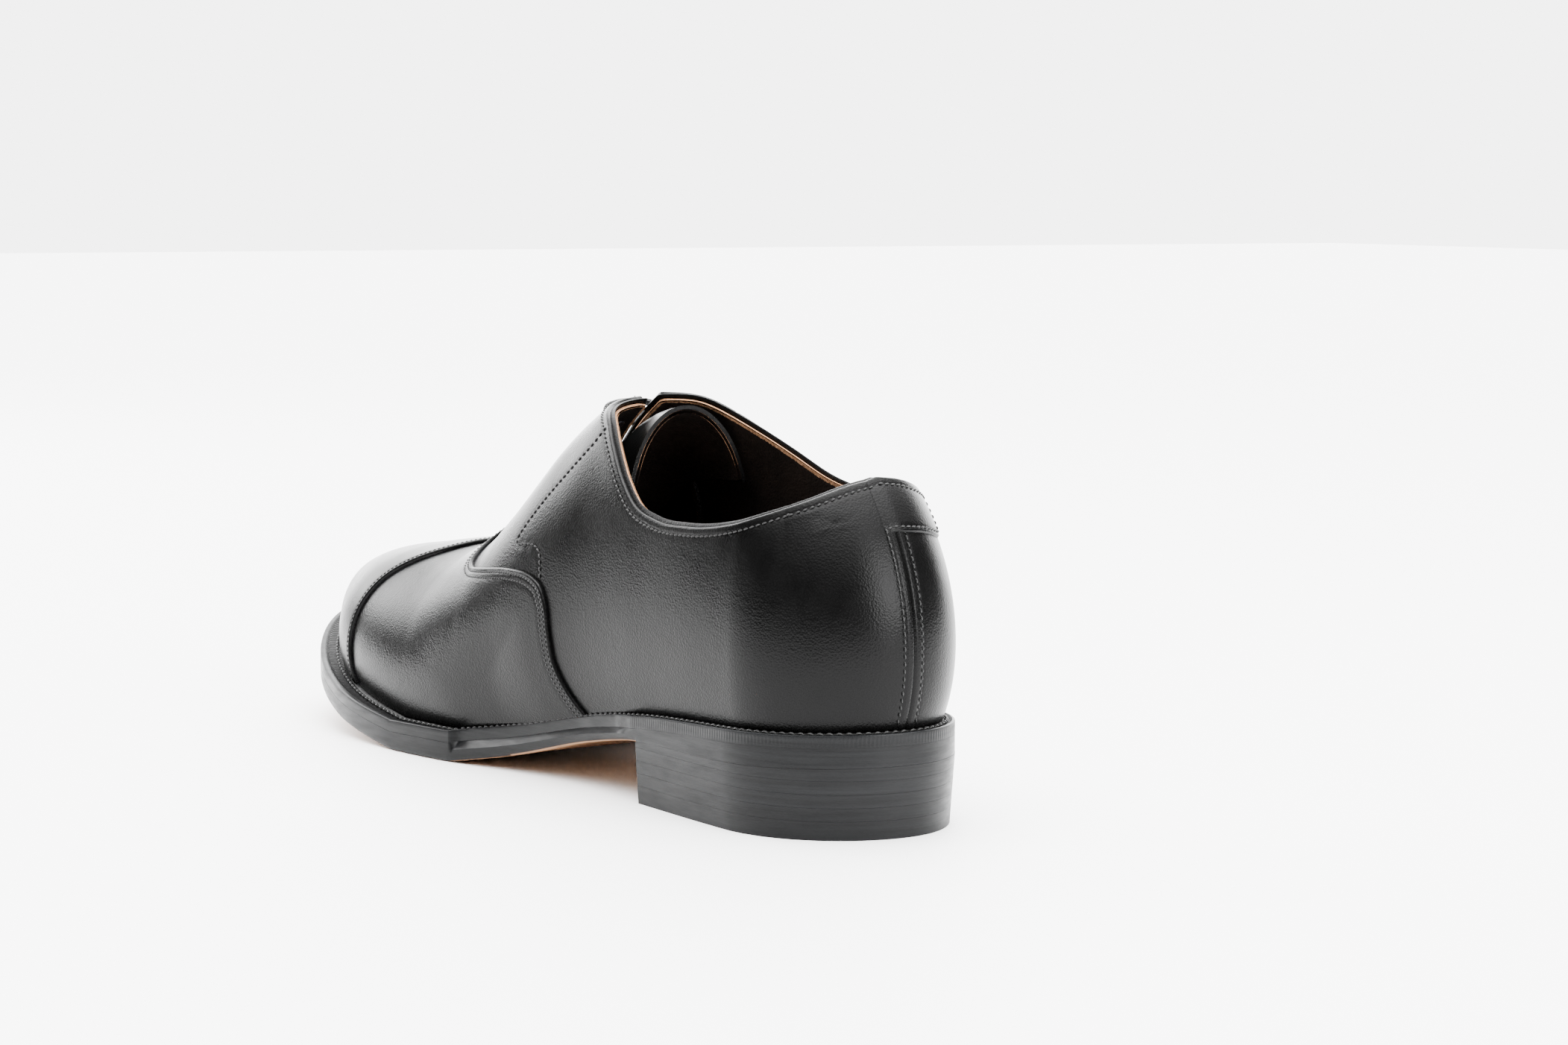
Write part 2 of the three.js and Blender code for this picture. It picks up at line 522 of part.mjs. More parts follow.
// The tail lies over the medial quarter, and comes down again past the back seam.
const lateralDepth = (s, u, q) => (u < 0 ? -RAISED
  : -RAISED * (1 - smooth(u / .04)) * smooth((q - tailStart + .05) / .04));
piece("quarter_lateral", cut(along(1, [...tailUs, ...quarterUs], 8,
  (u) => (u < 0 ? tailLow(-u) : 0), (u) => collarQ(u < 0 ? -1 : 1, abs(u)),
  lateralDepth, LEATHER), [ahead(1, TUCK_T, TUCK_Q), ...drills(1, HOLE)]), BLACK);
piece("quarter_medial", cut(along(-1, quarterUs, 8, plain, (u) => collarQ(-1, u), plain,
  LEATHER), [ahead(-1, TUCK_T, TUCK_Q), ...drills(-1, HOLE)]), BLACK);

// ---- Upper, middle layer ----
const MIDDLE = LEATHER + PLY_GAP;
const PUFF_START = stationT(LAST_LENGTH - CAP_LENGTH + LAP + 3);
piece("toe_puff", across(chain(steps(-1, -.5, 6), steps(-.5, .5, 8), steps(.5, 1, 6)), 9,
  () => PUFF_START, () => 1, () => MIDDLE, BACKER, true), [0xc8b79a, 0.9]);
const counterQ = (u) => qAtHeight(u < 0 ? -1 : 1, abs(u),
  COUNTER_HEIGHT * (1 - .35 * smooth((abs(u) - .2) / (COUNTER_END - .2))));
const counterHalf = HEEL_US.filter((u) => u < COUNTER_END);
piece("heel_counter", along(1, [...counterHalf.map((u) => -u).reverse(), 0, ...counterHalf], 5,
  () => 0, counterQ, () => MIDDLE, BACKER), [0xb39a78, 0.9]);
const SIDE_FOOT = .04, SIDE_TOP = .36; // q of the side linings' edges
const SIDE_SLACK = .35; // how far the thin side linings hang off the outer leather
const SIDE_US = chain([COUNTER_END + .005, .38, .4, .415, .428, .437, TOP],
  steps(TOP, PUFF_START - .01, 9));
for (const [side, word] of [[1, "lateral"], [-1, "medial"]]) {
  piece(`side_lining_${word}`, along(side, SIDE_US, 5, () => SIDE_FOOT, () => SIDE_TOP,
    () => MIDDLE + SIDE_SLACK, SIDE_LINING), [0xb39a78, 0.9]);
  const stayUs = steps(TOP + .008, THROAT - .004, 9);
  piece(`facing_stay_${word}`, cut(along(side, stayUs, 3, (u) => facingQ(side, u, STAY_WIDTH),
    (u) => facingQ(side, u, 1), () => MIDDLE, BACKER), drills(side, BARREL + PLY_GAP)),
  [0x3a332c, 0.9]);
  piece(`topline_bead_${word}`, along(side, QUARTER_US, 2,
    (u) => collarQ(side, u, -BEAD_DEPTH, 1), (u) => collarQ(side, u, BEAD_RISE),
    () => MIDDLE, BACKER), BLACK);
}

// ---- Upper, lining ----
const INNER = MIDDLE + BACKER + PLY_GAP;
const liningUs = [...QUARTER_US, TOP, .477, .49, .505, .52, .538, .556];
for (const [side, word] of [[1, "lateral"], [-1, "medial"]])
  piece(`quarter_lining_${word}`, cut(along(side, liningUs, 7, plain,
    (u) => collarQ(side, u, -LINING_DROP, .8), () => INNER, LINING),
  [ahead(side, 0, 0), ...drills(side, BARREL + PLY_GAP)]), DARK_LINING);
const LINING_JOIN = .009; // between the vamp lining and the quarter linings
const vampHalf = [0, .12, .24, .33, .4, .47, .54, .61, .68, .78, .89, 1];
piece("vamp_lining", across([...vampHalf.slice(1).reverse().map((u) => -u), ...vampHalf], 11,
  (s, q) => seamT(q) + LINING_JOIN, () => 1, () => INNER, LINING, true),
[0xa08a6c, 0.9]);

// ---- Eyelets ----
const FLANGE_DEPTH = PLIES + PLY_GAP + .1;
const names = { 1: "lateral", "-1": "medial" };
for (const side of [1, -1])
  eyelets[side].forEach((eye, i) => {
    const a = -MIDDLE - .1, b = -FLANGE_DEPTH, c = b - FLANGE_THICK;
    const profile = [[BORE, a], [BORE, c], [FLANGE, c], [FLANGE, b], [BARREL, b], [BARREL, a],
      [BORE, a]].map(([r, h]) => new THREE.Vector2(r, h));
    const g = new THREE.LatheGeometry(profile, 8);
    g.applyQuaternion(new THREE.Quaternion().setFromUnitVectors(vec(0, 1, 0), eye.axis));
    g.translate(...eye.centre.toArray());
    const whole = mergeVertices(g.deleteAttribute("normal").deleteAttribute("uv"), 1e-3);
    piece(`eyelet_${names[side]}_${i + 1}`, whole, [0x2a2a2c, 0.35], 0.8);
  });

// ---- Tongue: an arched leaf under the facings ----
const LACE_DEPTH = FLANGE_DEPTH + FLANGE_THICK + PLY_GAP + LACE / 2; // of the inner runs
const TONGUE_SLACK = 1.35; // between the lace's runs and the tongue's middle
const TONGUE_DEPTH = LACE_DEPTH + LACE / 2 + PLY_GAP + TONGUE_SLACK;
const tongueLine = (() => {
  const under = steps(TONGUE.root, TOP + .012, 8).map((t) => inside(1, t, 1, TONGUE_DEPTH));
  const end = under[under.length - 1], before = under[under.length - 2];
  const way = end.clone().sub(before).normalize();
  const free = [8, 16, 24].map((d) => end.clone().addScaledVector(way, d)
    .add(vec(-d * d * .006, 0, -d * d * .009)));
  const line = new THREE.CatmullRomCurve3([...under, ...free]);
  line.arcLengthDivisions = 400;
  return line;
})();
function tonguePoint(u, v, depth) {
  const whole = tongueLine.getLength();
  const run = clamp(u * (TONGUE.length - TONGUE.corner * abs(v) ** 4) / whole, 0, 1);
  const c = tongueLine.getPointAt(run), dir = tongueLine.getTangentAt(run);
  const up = vec(dir.z, 0, -dir.x).lerp(vec(0, 0, 1), .7 * smooth(u)).normalize();
  const w = (TONGUE_WIDTH + (TONGUE_TOP - TONGUE_WIDTH) * u) / 2;
  const rise = TONGUE.rise * (.35 + .65 * smooth(u));
  const slope = -2 * rise * v / w, n = hypot(1, slope);
  return c.clone().add(vec(0, w * v, 0)).addScaledVector(up, -rise * v * v - depth / n)
    .add(vec(0, depth * slope / n, 0));
}
const leaf = (depth, thick, short) => wall(steps(0, 1 - short, 9), 8, (u, w) => {
  const v = (2 * w - 1) * (1 - short);
  return [tonguePoint(u, v, depth), tonguePoint(u, v, depth + thick)];
});
piece("tongue", leaf(0, LEATHER, 0), BLACK);
piece("tongue_lining", leaf(LEATHER + GAP, LINING, .03), TAN);

// ---- Lace: straight bars over the facings, runs and tails inside ----
const OVER = -LACE / 2 - .6; // depth of the bars
const eyeAt = (side, i) => eyelets[side][i - 1];
const spot = (eye, depth, away = 0) => inside(eye.side, eye.t,
  qFromRidge(eye.side, eye.t, facingHalf(eye.t) + EYELET_INSET + away), depth);
const up = (side, i) => {
  const eye = eyeAt(side, i);
  return [down(eye, LACE_DEPTH), down(eye, 3), down(eye, .2), spot(eye, OVER, -1.3)];
};
const over = (side, i) => [side, -side].map((s) =>
  spot(eyeAt(s, i), OVER, -EYELET_INSET * .6));
const laceBar = (side, i) => [...up(side, i), ...over(side, i), ...up(-side, i).reverse()];
const PASS = LACE + .8; // sideways room where a run passes an eyelet in use
const pass = (side, i, sign) => [spot(eyeAt(side, i), LACE_DEPTH, sign * PASS)];
const tail = (side, i, stops) => [spot(eyeAt(side, i), LACE_DEPTH, 4),
  ...stops.map(([t, q, more]) => inside(side, t, q, LACE_DEPTH + more))];
// Where the hidden ends run: station, q and more depth.
const tailStops = [[.5, .6, 0], [.505, .4, .3], [.52, .26, 1], [.56, .19, 1], [.62, .18, 1.5],
  [.67, .18, 2.5], [.71, .2, 5]];
const topStops = [[.472, .62, -.1], [.478, .45, .1], [.5, .26, 1], [.54, .19, 1], [.6, .18, 1.5],
  [.65, .18, 2.5], [.69, .2, 5]];
const route = [...tail(1, 4, tailStops).reverse(), ...laceBar(1, 4), ...pass(-1, 3, 1),
  ...laceBar(-1, 2), ...laceBar(1, 1), ...pass(-1, 2, -1), ...laceBar(-1, 3),
  ...pass(1, 4, -1), ...laceBar(1, 5), ...tail(-1, 5, topStops)];
const laceCurve = new THREE.CatmullRomCurve3(route, false, "centripetal");
const lacePath = laceCurve.getPoints(2 * (route.length - 1));
const cutBack = (points, length) => {
  const kept = [...points];
  while (kept[kept.length - 1].distanceTo(points[points.length - 1]) < length) kept.pop();
  return kept;
};
const ends = {
  a: cutBack([...lacePath].reverse(), AGLET.length),
  b: cutBack(lacePath, AGLET.length),
};
piece("lace", bar(lacePath.slice(lacePath.length - ends.a.length, ends.b.length), LACE / 2, 6),
  [0x0f0f0f, 0.7]);
const aglet = (points) => {
  const tip = points[points.length - 1], way = tip.clone().sub(points[points.length - 2]);
  way.normalize();
  const from = tip.clone().addScaledVector(way, GAP);
  return bar([from, from.clone().addScaledVector(way, AGLET.length)], AGLET.radius, 8);
};
piece("aglet_lateral", aglet(ends.a), [0x101010, 0.3]);
piece("aglet_medial", aglet(ends.b), [0x101010, 0.3]);

// ---- The frame: origin on the ground under the middle of the shoe's box ----
const box = new THREE.Box3().setFromObject(shoe);
const middle = box.getCenter(new THREE.Vector3());
shoe.position.set(-middle.x, -middle.y, -box.min.z);

export default shoe;
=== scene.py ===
"""A man's left cap-toe oxford in black calf, welted all round, on a stacked leather heel.

Shapes are worked out in millimetres in the last's own frame: +X to the toe, +Y to the
lateral side, Z up from the ground. put() brings them to metres and to the part's place.
"""

import math

import bmesh
import bpy
import numpy as np
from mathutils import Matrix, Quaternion, Vector


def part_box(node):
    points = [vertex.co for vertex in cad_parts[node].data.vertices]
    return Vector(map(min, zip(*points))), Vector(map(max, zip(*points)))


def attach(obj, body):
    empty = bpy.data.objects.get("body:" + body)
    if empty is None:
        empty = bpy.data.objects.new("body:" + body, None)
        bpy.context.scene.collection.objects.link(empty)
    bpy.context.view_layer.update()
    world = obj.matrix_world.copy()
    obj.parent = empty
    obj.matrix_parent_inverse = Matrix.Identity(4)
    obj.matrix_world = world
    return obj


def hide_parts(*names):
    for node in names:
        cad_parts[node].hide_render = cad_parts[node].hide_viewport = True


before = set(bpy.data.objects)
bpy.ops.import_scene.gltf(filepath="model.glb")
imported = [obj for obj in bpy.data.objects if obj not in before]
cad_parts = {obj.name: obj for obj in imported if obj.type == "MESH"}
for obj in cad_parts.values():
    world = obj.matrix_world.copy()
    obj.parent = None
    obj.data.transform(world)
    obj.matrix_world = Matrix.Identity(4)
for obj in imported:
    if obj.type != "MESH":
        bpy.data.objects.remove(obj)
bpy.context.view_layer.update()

# ---- Camera, floor and light ----
# A long lens at the shoe's rear lateral quarter, a white floor, a wide soft box overhead,
# and a dark room at eye level, which black leather needs if its shape is to show.
CAMERA_AT = (-0.8630, 0.5282, 0.1752)
CAMERA_AZIMUTH, CAMERA_ELEVATION, CAMERA_ROLL = 55.544, 5.852, 0.381  # degrees
LENS = 77.81

turn, tilt = math.radians(CAMERA_AZIMUTH), math.radians(CAMERA_ELEVATION)
look = Vector((math.sin(turn) * math.cos(tilt), -math.cos(turn) * math.cos(tilt),
               -math.sin(tilt)))
camera = bpy.data.objects.new("camera", bpy.data.cameras.new("camera"))
bpy.context.collection.objects.link(camera)
camera.data.lens = LENS
camera.location = CAMERA_AT
camera.rotation_mode = "QUATERNION"
camera.rotation_quaternion = (Quaternion(-look, math.radians(CAMERA_ROLL))
                              @ look.to_track_quat("-Z", "Y"))
bpy.context.scene.camera = camera


def node(tree, kind, inputs=None, **settings):
    """A node with its settings; each input is a value or another node's output."""
    made = tree.nodes.new(kind)
    for key, value in settings.items():
        setattr(made, key, value)
    for key, value in (inputs or {}).items():
        if isinstance(value, bpy.types.NodeSocket):
            tree.links.new(value, made.inputs[key])
        else:
            made.inputs[key].default_value = value
    return made


def ramp(tree, value, stops):
    """A colour that runs through the stops, given as (place, grey or colour)."""
    made = node(tree, "ShaderNodeValToRGB", {"Fac": value})
    bar = made.color_ramp.elements
    while len(bar) < len(stops):
        bar.new(0.5)
    for stop, (place, colour) in zip(bar, stops):
        stop.position = place
        grey = np.ndim(colour) == 0
        stop.color = (colour,) * 3 + (1,) if grey else (*colour, 1)
    return made.outputs["Color"]


FLOOR_HALF = 6.0
FLOOR_WHITE = 0.86
floor_mesh = bpy.data.meshes.new("floor")
floor_mesh.from_pydata([(x * FLOOR_HALF, y * FLOOR_HALF, 0) for x, y in
                        ((-1, -1), (1, -1), (1, 1), (-1, 1))], [], [(0, 1, 2, 3)])
floor = bpy.data.objects.new("floor", floor_mesh)
bpy.context.collection.objects.link(floor)
paper = bpy.data.materials.new("paper")
paper.use_nodes = True
paper_face = paper.node_tree.nodes["Principled BSDF"]
paper_face.inputs["Base Color"].default_value = (FLOOR_WHITE,) * 3 + (1,)
paper_face.inputs["Roughness"].default_value = 0.6
floor_mesh.materials.append(paper)

world = bpy.data.worlds.new("studio")
bpy.context.scene.world = world
world.use_nodes = True
sky = world.node_tree
sky.nodes.clear()
height = node(sky, "ShaderNodeSeparateXYZ",
              {0: node(sky, "ShaderNodeTexCoord").outputs["Generated"]}).outputs["Z"]
BACK_DROP = (0.78, -0.6, 0.16)  # the way to the lit white paper behind the shoe
drop = node(sky, "ShaderNodeVectorMath", {
    0: node(sky, "ShaderNodeTexCoord").outputs["Generated"], 1: BACK_DROP},
    operation="DOT_PRODUCT").outputs["Value"]
above = ramp(sky, height, [(0, 0.0012), (0.42, 0.003), (0.72, 0.25), (0.9, 1.0)])
glow = ramp(sky, drop, [(0.7, 0), (0.93, 0.85)])
room = node(sky, "ShaderNodeBackground", {
    "Color": node(sky, "ShaderNodeVectorMath", {0: above, 1: glow}, operation="ADD").outputs[0],
    "Strength": 16.0})
paper_sky = node(sky, "ShaderNodeBackground", {"Color": (1, 1, 1, 1), "Strength": 5.5})
seen = node(sky, "ShaderNodeMixShader", {
    0: node(sky, "ShaderNodeLightPath").outputs["Is Camera Ray"],
    1: room.outputs[0], 2: paper_sky.outputs[0]})
node(sky, "ShaderNodeOutputWorld", {"Surface": seen.outputs[0]})


def soft_box(name, place, size, power):
    """A square light, aimed at the shoe's middle."""
    lamp = bpy.data.lights.new(name, "AREA")
    lamp.size, lamp.energy = size, power
    box = bpy.data.objects.new(name, lamp)
    box.location = place
    box.rotation_euler = (Vector((0, 0, 0.05)) - box.location).to_track_quat("-Z", "Y").to_euler()
    bpy.context.collection.objects.link(box)


soft_box("soft_box_top", (0.1, 0.1, 1.7), 0.8, 26)
soft_box("soft_box_toe", (1.45, 0.38, 0.66), 0.7, 26)
soft_box("soft_box_heel", (-1.5, -0.4, 0.6), 0.8, 44)

# ---- The last ----
# The foot shape that the shoe is pulled over. A rib stands on the feather edge at each
# station t, 0 at the heel curve to 1 at the toe, and climbs to the ridge over the instep;
# q runs 0 to 1 up the rib, and side is +1 lateral or -1 medial.
LAST_LENGTH, LAST_WIDTH, LAST_HEIGHT = 290, 88, 93
HEEL_ROUND, TOE_ROUND = 34, 70  # lengths over which the two ends round off
HEEL_HEIGHT, TOE_SPRING = 18.5, 24.5
OUTSOLE, WELT, GAP = 5.4, 3.6, 0.3


def curve(xs, ys):
    """A smooth curve through points, as a function of x. Each piece is a cubic, and its
    slope at a point is the mean of the two neighbours' slopes, weighted by their lengths."""
    xs, ys = np.array(xs, float), np.array(ys, float)
    gap = np.diff(xs)
    rise = np.diff(ys) / gap
    inner = (rise[:-1] * gap[1:] + rise[1:] * gap[:-1]) / (gap[:-1] + gap[1:])
    slope = np.concatenate([rise[:1], inner, rise[-1:]])

    def at(x):
        """The curve's value at x."""
        i = np.clip(np.searchsorted(xs, x, side="right") - 1, 0, len(xs) - 2)
        u = (x - xs[i]) / gap[i]
        a = u * u * (3 - 2 * u)
        bend = slope[i] * (1 - u) - slope[i + 1] * u
        return ys[i] * (1 - a) + ys[i + 1] * a + gap[i] * u * (1 - u) * bend
    return at


lateral_width = curve([0, .17, .27, .37, .49, .61, .72, .82, 1],
                      [.372, .365, .358, .364, .42, .494, .518, .5, .465])
medial_width = curve([0, .17, .27, .37, .49, .61, .72, .82, 1],
                     [.321, .334, .313, .273, .295, .375, .438, .455, .435])
centre_line = curve([0, .16, .48, .68, .86, 1], [-.02, -.008, 0, -.011, -.034, -.045])
heel_rise = curve([-.03, .13, .27, .37, .49, .575], [1.08, 1, .946, .703, .243, 0])
toe_rise = curve([.67, .8, .907, 1.03], [0, .26, .59, 1.14])
sole_share = curve([0, .13, .27, .37, .51, .61, .72, .82, .91, 1],
                   [.93, .93, .65, .76, 1, 1.04, .96, .89, .81, .78])
ridge_at = curve([0, .055, .2, .303, .683, .803, .907, 1],
                 [.152, .166, .214, .303, .676, .783, .848, .897])
ridge_rise = curve([0, .055, .2, .303, .355, .414, .476, .545, .614, .683, .752, .82, .907, 1],
                   [.98, 1.02, 1.2, 1.17, 1.1, 1.045, .967, .8, .645, .556, .503, .446, .36, .214])
ridge_side = curve([0, .41, .61, .75, .9], [0, -.011, -.023, -.034, -.045])
RIB = [0, .13, .27, .41, .51, .61, .72, .82, .91, 1]
rib_bulge = curve(RIB, [11, 8, 9, 10, 10, 9, 7, 6, 5, 5])
rib_low = curve(RIB, [.3, .27, .22, .25, .28, .32, .38, .42, .44, .46])
rib_in = curve(RIB, [.06, 0, -.1, -.17, -.06, .05, .1, .12, .15, .15])
rib_high = curve(RIB, [.7, .66, .65, .77, .79, .85, .92, .98, 1, 1])
rib_top = curve(RIB, [.55, .55, .6, .63, .58, .52, .5, .5, .5, .5])
medial_bulge = curve([0, .15, .3, .4, .52, .65, 1], [0, 1, 5, 6.5, 5, 2, 0])


def smooth(u):
    """0 up to u = 0, 1 from u = 1, and a smooth step between."""
    c = np.clip(u, 0, 1)
    return c * c * (3 - 2 * c)


def station_x(t):
    """Distance from the heel curve: stations crowd towards both ends, as a cosine."""
    return LAST_LENGTH * (1 - np.cos(np.pi * t)) / 2


def station_t(x):
    """The station at a distance from the heel curve."""
    return np.arccos(np.clip(1 - 2 * x / LAST_LENGTH, -1, 1)) / np.pi


def sole_bottom(x):
    """Height of the outsole's underside: the heel's rise behind, the toe spring in front."""
    s = x / LAST_LENGTH
    back = np.where(s < .575, np.maximum(0, HEEL_HEIGHT * heel_rise(s)), 0)
    return back + np.where(s > .67, np.maximum(0, TOE_SPRING * toe_rise(np.maximum(s, .67))), 0)


def sole_top(x):
    """Height of the outsole's upper side."""
    return sole_bottom(x) + OUTSOLE * sole_share(np.clip(x / LAST_LENGTH, 0, 1))


def feather_z(x):
    """Height of the feather edge, where the upper meets the welt."""
    return sole_top(x) + WELT + 2 * GAP


def plan(side, t):
    """The last's outline seen from above: a half width at each station, rounded off to
    nothing at the heel and the toe as a quarter of an ellipse."""
    x = station_x(t)
    s = x / LAST_LENGTH
    back = np.sqrt(np.maximum(0, 1 - np.maximum(0, 1 - x / HEEL_ROUND) ** 2))
    front = np.sqrt(np.maximum(0, 1 - np.maximum(0, (x - LAST_LENGTH + TOE_ROUND) / TOE_ROUND) ** 2))
    half = LAST_WIDTH * np.where(side > 0, lateral_width(s), medial_width(s))
    return np.stack([x, side * half * back * front + LAST_WIDTH * centre_line(s)], -1)


def outline(side, t, out=0.0):
    """The plan outline moved outwards by a distance, square to itself."""
    e = 1e-4
    step = plan(side, np.minimum(1, t + e)) - plan(side, np.maximum(0, t - e))
    step /= np.linalg.norm(step, axis=-1, keepdims=True)
    away = np.stack([-step[..., 1], step[..., 0]], -1) * np.asarray(side)[..., None]
    return plan(side, t) + away * np.asarray(out)[..., None]


def face(side, t, q):
    """A point of the last's skin. A rib is a quartic curve on five control points in the
    upright plane from the feather edge to the ridge: the feather edge, a bulge low down,
    the waist of the wall, a shoulder level with the ridge, and the ridge. Past the ridge,
    the heel curve or the toe the skin goes on over the other side."""
    side, t, q = np.broadcast_arrays(*(np.asarray(v, float) for v in (side, t, q)))
    side = np.where((t < 0) ^ (t > 1) ^ (q > 1), -side, side)
    t = np.where(t < 0, -t, np.where(t > 1, 2 - t, t))
    q = np.where(q > 1, 2 - q, q)
    foot = plan(side, t)
    s = foot[..., 0] / LAST_LENGTH
    ridge = np.stack([LAST_LENGTH * ridge_at(s), LAST_WIDTH * ridge_side(ridge_at(s))], -1)
    run = np.maximum(1e-9, np.linalg.norm(ridge - foot, axis=-1))
    way = (ridge - foot) / run[..., None]
    low, rise, e = feather_z(foot[..., 0]), LAST_HEIGHT * ridge_rise(s), .002
    gain = ridge_at(s + e) - ridge_at(s - e)
    ground = (feather_z(foot[..., 0] + 1) - feather_z(foot[..., 0] - 1)) * e
    climb = LAST_HEIGHT / LAST_LENGTH * (ridge_rise(s + e) - ridge_rise(s - e))
    slope = np.clip((ground + climb) / gain, -1, 1)
    k = rib_top(s) * run
    extra = np.where(side < 0, medial_bulge(s), 0)
    along = [0 * k, -rib_bulge(s) - extra, rib_in(s) * run - extra, run - k, run]
    up = [0 * k, rib_low(s) * rise, rib_high(s) * rise, rise - k * way[..., 0] * slope, rise]
    p = 1 - q
    weight = [p ** 4, 4 * p ** 3 * q, 6 * p * p * q * q, 4 * p * q ** 3, q ** 4]
    reach = sum(w * c for w, c in zip(weight, along))
    z = low + sum(w * c for w, c in zip(weight, up))
    return np.concatenate([foot + way * reach[..., None], z[..., None]], -1)


def slopes(side, t, q, e=2e-3):
    """How far a point of the skin moves for a step in t and for a step in q."""
    return ((face(side, t + e, q) - face(side, t - e, q)) / (2 * e),
            (face(side, t, q + e) - face(side, t, q - e)) / (2 * e))


def unit(v):
    """Vectors brought to length 1."""
    return v / np.maximum(1e-12, np.linalg.norm(v, axis=-1, keepdims=True))


def normal(side, t, q):
    """The skin's direction out."""
    by_t, by_q = slopes(side, t, q)
    return unit(np.cross(by_q, by_t) * np.asarray(side, float)[..., None])


def run_along(line, power=1.0):
    """The distance run along a line at each of its points, each step raised to a power."""
    steps = np.linalg.norm(np.diff(line, axis=0), axis=1) ** power
    return np.concatenate([[0], np.cumsum(steps)])


def solve(f, target, low, high):
    """Where f, which rises from low to high, reaches the target: 40 halvings."""
    a, b = low + 0 * target, high + 0 * target
    for _ in range(40):
        m = (a + b) / 2
        under = f(m) < target
        a, b = np.where(under, m, a), np.where(under, b, m)
    return (a + b) / 2


def q_at_height(side, t, height):
    """q of the point at a height over the feather edge."""
    return solve(lambda q: face(side, t, q)[..., 2], feather_z(station_x(t)) + height, 0.0, 1.0)


def q_from_ridge(side, t, distance):
    """q of the point at a straight distance from the ridge."""
    ridge = face(side, t, 1 + 0 * t)
    return solve(lambda q: -np.linalg.norm(face(side, t, q) - ridge, axis=-1), -distance,
                 0.0, 1.0)


# ---- Outsole ----
# One leather sole from heel to toe. Its edge is trimmed flush with the welt, square round
# the forepart and bevelled under the waist, then inked black; the underside stays natural.
WELT_REACH = 6.5
BALL_STEP = 166.0
WAIST_SET, WAIST_BEVEL = 2.1, 2.0  # how far the waist's top is set back, and its bevel
STEP_RUN, SEAT_RUN, BALL_FADE, SEAT_FADE = 2.2, 14, 30, 12  # lengths over which they come in
HEEL_LENGTH = 78
welt_share = curve([0, .2, .3, .44, .58, .72, 1, 1.05],
                   [.49, .52, .46, .34, .69, 1.05, 1.15, 1.15])
box_low, box_high = (np.array(v) * 1000 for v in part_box("outsole"))


def welt_reach(x):
    """How far the sole edge stands out from the feather edge."""
    return WELT_REACH * welt_share(np.clip(x / LAST_LENGTH, 0, 1))


even = np.linspace(0, 1, 800)
rough_edge = [outline(side, even, welt_reach(station_x(even))) for side in (1, -1)]
PLACE = np.array([box_low[0] + welt_reach(0.0), (box_low[1] + box_high[1]) / 2
                  - (rough_edge[0][:, 1].max() + rough_edge[1][:, 1].min()) / 2, 0])


def set_back(x):
    """How far the top of the waist's edge stands behind the forepart's: a sharp step at the
    ball, and a point where the heel seat starts."""
    return WAIST_SET * smooth((BALL_STEP - x) / STEP_RUN) * smooth((x - HEEL_LENGTH - 1) / SEAT_RUN)


def bevel(x):
    """How far the edge draws in from top to bottom: only under the waist."""
    return WAIST_BEVEL * smooth((BALL_STEP - x) / BALL_FADE) * smooth((x - HEEL_LENGTH + 3) / SEAT_FADE)


def put(name, points, faces, finishes, body="shoe", second=None, marks=None, sharp=35):
    """A piece from points in millimetres and its faces. Equal points are joined, faces are
    turned outwards, and second says which faces take the second finish."""
    mesh = bpy.data.meshes.new(name)
    mesh.from_pydata(((points + PLACE) / 1000).tolist(), [], faces.tolist())
    if second is not None:
        mesh.polygons.foreach_set("material_index", second.astype(np.int32))
    for key, value in (marks or {}).items():
        mesh.attributes.new(key, "FLOAT", "POINT").data.foreach_set(
            "value", value.astype(np.float32).ravel())
    work = bmesh.new()
    work.from_mesh(mesh)
    bmesh.ops.remove_doubles(work, verts=work.verts, dist=2e-6)
    bmesh.ops.recalc_face_normals(work, faces=work.faces)
    work.to_mesh(mesh)
    work.free()
    mesh.shade_smooth()
    mesh.set_sharp_from_angle(angle=math.radians(sharp))
    for finish in finishes:
        mesh.materials.append(finish)
    made = bpy.data.objects.new(name, mesh)
    bpy.context.collection.objects.link(made)
    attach(made, body)
    return made


def grid_faces(rows, columns, loop=False):
    """Quads of a grid of points, closed from its last row to its first if it is a loop."""
    at = np.arange(rows * columns).reshape(rows, columns)
    if loop:
        at = np.concatenate([at, at[:1]])
    return np.stack([at[:-1, :-1], at[1:, :-1], at[1:, 1:], at[:-1, 1:]], -1).reshape(-1, 4)


def shell(outer, inner, keep=None):
    """A closed shell: an outer grid, an inner one, and a wall round the border of the faces
    that are kept. Border edges that lie on each other, as at the toe, get no wall."""
    total = outer[..., 0].size
    quads = grid_faces(*outer.shape[:2])
    quads = quads if keep is None else quads[keep.ravel()]
    edges = np.concatenate([quads[:, [k, (k + 1) % 4]] for k in range(4)])
    _, same = np.unique(np.round(outer.reshape(-1, 3), 3), axis=0, return_inverse=True)
    pair = same.reshape(-1)[edges]
    open_edge = ~np.isin(pair @ [total, 1], pair @ [1, total]) & (pair[:, 0] != pair[:, 1])
    rim = edges[open_edge]
    walls = np.column_stack([rim[:, 1], rim[:, 0], rim[:, 0] + total, rim[:, 1] + total])
    points = np.concatenate([outer.reshape(-1, 3), inner.reshape(-1, 3)])
    return points, np.concatenate([quads, quads[:, ::-1] + total, walls])


